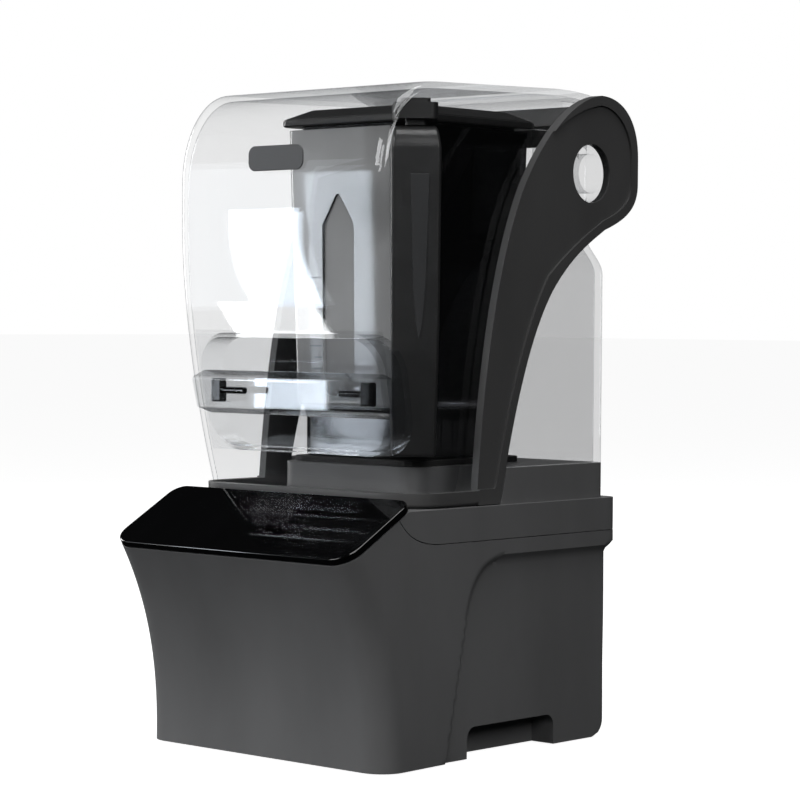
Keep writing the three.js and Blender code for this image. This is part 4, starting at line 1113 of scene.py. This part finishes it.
def dress_cad_nodes():
    """Gives a material to each CAD node whose own mesh is shown."""
    looks = {
        "bottom_cover": CASING, "touch_board": BOARD, "power_board": BOARD, "board_capacitor": BLACK,
        "motor_stator": LAMINATION, "field_coil": COPPER, "motor_bracket": CAST, "motor_bearing": STEEL,
        "motor_rotor": STEEL, "drive_socket": STEEL, "cooling_fan": NYLON, "carbon_brush": CARBON,
        "motor_mount": RUBBER, "foot": RUBBER, "jug_mat": RUBBER, "lid_seal": RUBBER, "blade": STEEL,
        "cover_screw": STEEL,
    }
    for name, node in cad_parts.items():
        for start, look in looks.items():
            if name.startswith(start):
                node.data.materials.clear()
                node.data.materials.append(look)
                node.data.shade_smooth()
                node.data.set_sharp_from_angle(angle=math.radians(30))


# ---- Stage --------------------------------------------------------------------------------------

def look_at(thing, place, target, roll=0.0):
    """Turns a camera or a light at place (metres) towards target, rolled by an angle in degrees."""
    ahead = (Vector(target) - Vector(place)).normalized()
    right = ahead.cross(Vector((0, 0, 1))).normalized()
    up = right.cross(ahead)
    a = math.radians(roll)
    right, up = right * math.cos(a) + up * math.sin(a), up * math.cos(a) - right * math.sin(a)
    turn = Matrix((right, up, -ahead)).transposed().to_4x4()
    thing.matrix_world = Matrix.Translation(place) @ turn


CAMERA_PLACE = (1.2894, -1.3960, 0.2988)
CAMERA_TARGET = (0.0103, 0.0077, 0.2401)
CAMERA_ROLL = 0.36


def camera():
    lens = bpy.data.cameras.new("camera")
    lens.lens = 121.2
    lens.sensor_width = 36
    lens.clip_end = 50
    thing = bpy.data.objects.new("camera", lens)
    bpy.context.scene.collection.objects.link(thing)
    look_at(thing, CAMERA_PLACE, CAMERA_TARGET, CAMERA_ROLL)
    bpy.context.scene.camera = thing


def softbox(name, place, target, width, height, radiance, colour=(1, 1, 1)):
    """A one-sided panel of light, hidden from the camera; radiance is its brightness."""
    light = bpy.data.lights.new(name, "AREA")
    light.shape = "RECTANGLE"
    light.size = width
    light.size_y = height
    light.energy = radiance * math.pi * width * height
    light.color = colour
    thing = bpy.data.objects.new(name, light)
    bpy.context.scene.collection.objects.link(thing)
    look_at(thing, place, target)
    thing.visible_camera = False


def floor():
    """A pale floor that glows a little and takes no shadow, so that it fades into the backdrop."""
    n = Nodes("pale_floor")
    speck = n.span(n.noise(30, 2), 0.4, 0.44)
    colour = n.add("ShaderNodeCombineColor", {0: speck, 1: speck, 2: speck}).outputs[0]
    base = n.add("ShaderNodeBsdfPrincipled", {
        "Base Color": colour,
        "Roughness": 0.9,
        "Emission Color": (1, 1, 1, 1),
        "Emission Strength": 0.95,
    })
    material = n.finish(base.outputs[0])
    bm = bmesh.new()
    bmesh.ops.create_grid(bm, x_segments=2, y_segments=2, size=30)
    plane = new_piece("floor", bm)
    plane.data.materials.append(material)
    plane.visible_glossy = False
    plane.visible_diffuse = False
    plane.visible_shadow = False


def surroundings():
    """White behind the object, and a dim grey room in what shines."""
    world = bpy.data.worlds.new("studio")
    bpy.context.scene.world = world
    world.use_nodes = True
    tree = world.node_tree
    tree.nodes.clear()
    paths = tree.nodes.new("ShaderNodeLightPath")
    seen = tree.nodes.new("ShaderNodeBackground")
    seen.inputs["Color"].default_value = (1, 1, 1, 1)
    room = tree.nodes.new("ShaderNodeBackground")
    room.inputs["Color"].default_value = (0.9, 0.95, 1, 1)
    room.inputs["Strength"].default_value = 0.01
    mix = tree.nodes.new("ShaderNodeMixShader")
    output = tree.nodes.new("ShaderNodeOutputWorld")
    tree.links.new(paths.outputs["Is Camera Ray"], mix.inputs[0])
    tree.links.new(room.outputs[0], mix.inputs[1])
    tree.links.new(seen.outputs[0], mix.inputs[2])
    tree.links.new(mix.outputs[0], output.inputs["Surface"])


def studio():
    """Camera, floor, backdrop and lamps; the two narrow lamps make the bright patches on hood and jug."""
    camera()
    floor()
    surroundings()
    middle = (0, 0, 0.26)
    cool = (0.82, 0.90, 1)
    softbox("window_front_left", (-1.314, -1.396, 0.219), (-1.314, 0, 0.219), 0.137, 0.44, 10, cool)
    softbox("low_front_left", (-1.356, -1.396, -0.08), (-1.356, 0, -0.08), 0.19, 0.17, 8)
    softbox("broad_front_left", (-2.3, -2.0, 0.5), middle, 0.7, 1.4, 1.2, (0.9, 0.95, 1))
    softbox("key_front", (-0.5, -2.1, 1.2), middle, 1.4, 0.9, 7)
    softbox("key_left", (-2.0, -0.3, 0.7), middle, 0.8, 1.2, 6)
    softbox("fill_right", (1.9, -0.9, 1.3), middle, 1.2, 1.0, 4.5)
    softbox("top", (0.3, -0.2, 2.0), middle, 1.2, 1.2, 5)
    softbox("horizon_rear_left", (-1.9, 2.1, 0.45), middle, 1.6, 1.3, 0.75)
    scene = bpy.context.scene
    scene.view_settings.view_transform = "Standard"
    scene.cycles.transparent_max_bounces = 40


studio()
lower_casing()
upper_casing()
touch_panel()
inlet()
power_switch()
jug_glass()
jug_ticks()
jug_collar()
handle_piece()
lid()
rear_shell()
hood()
grip()
badge()
hood_frame()
dress_cad_nodes()
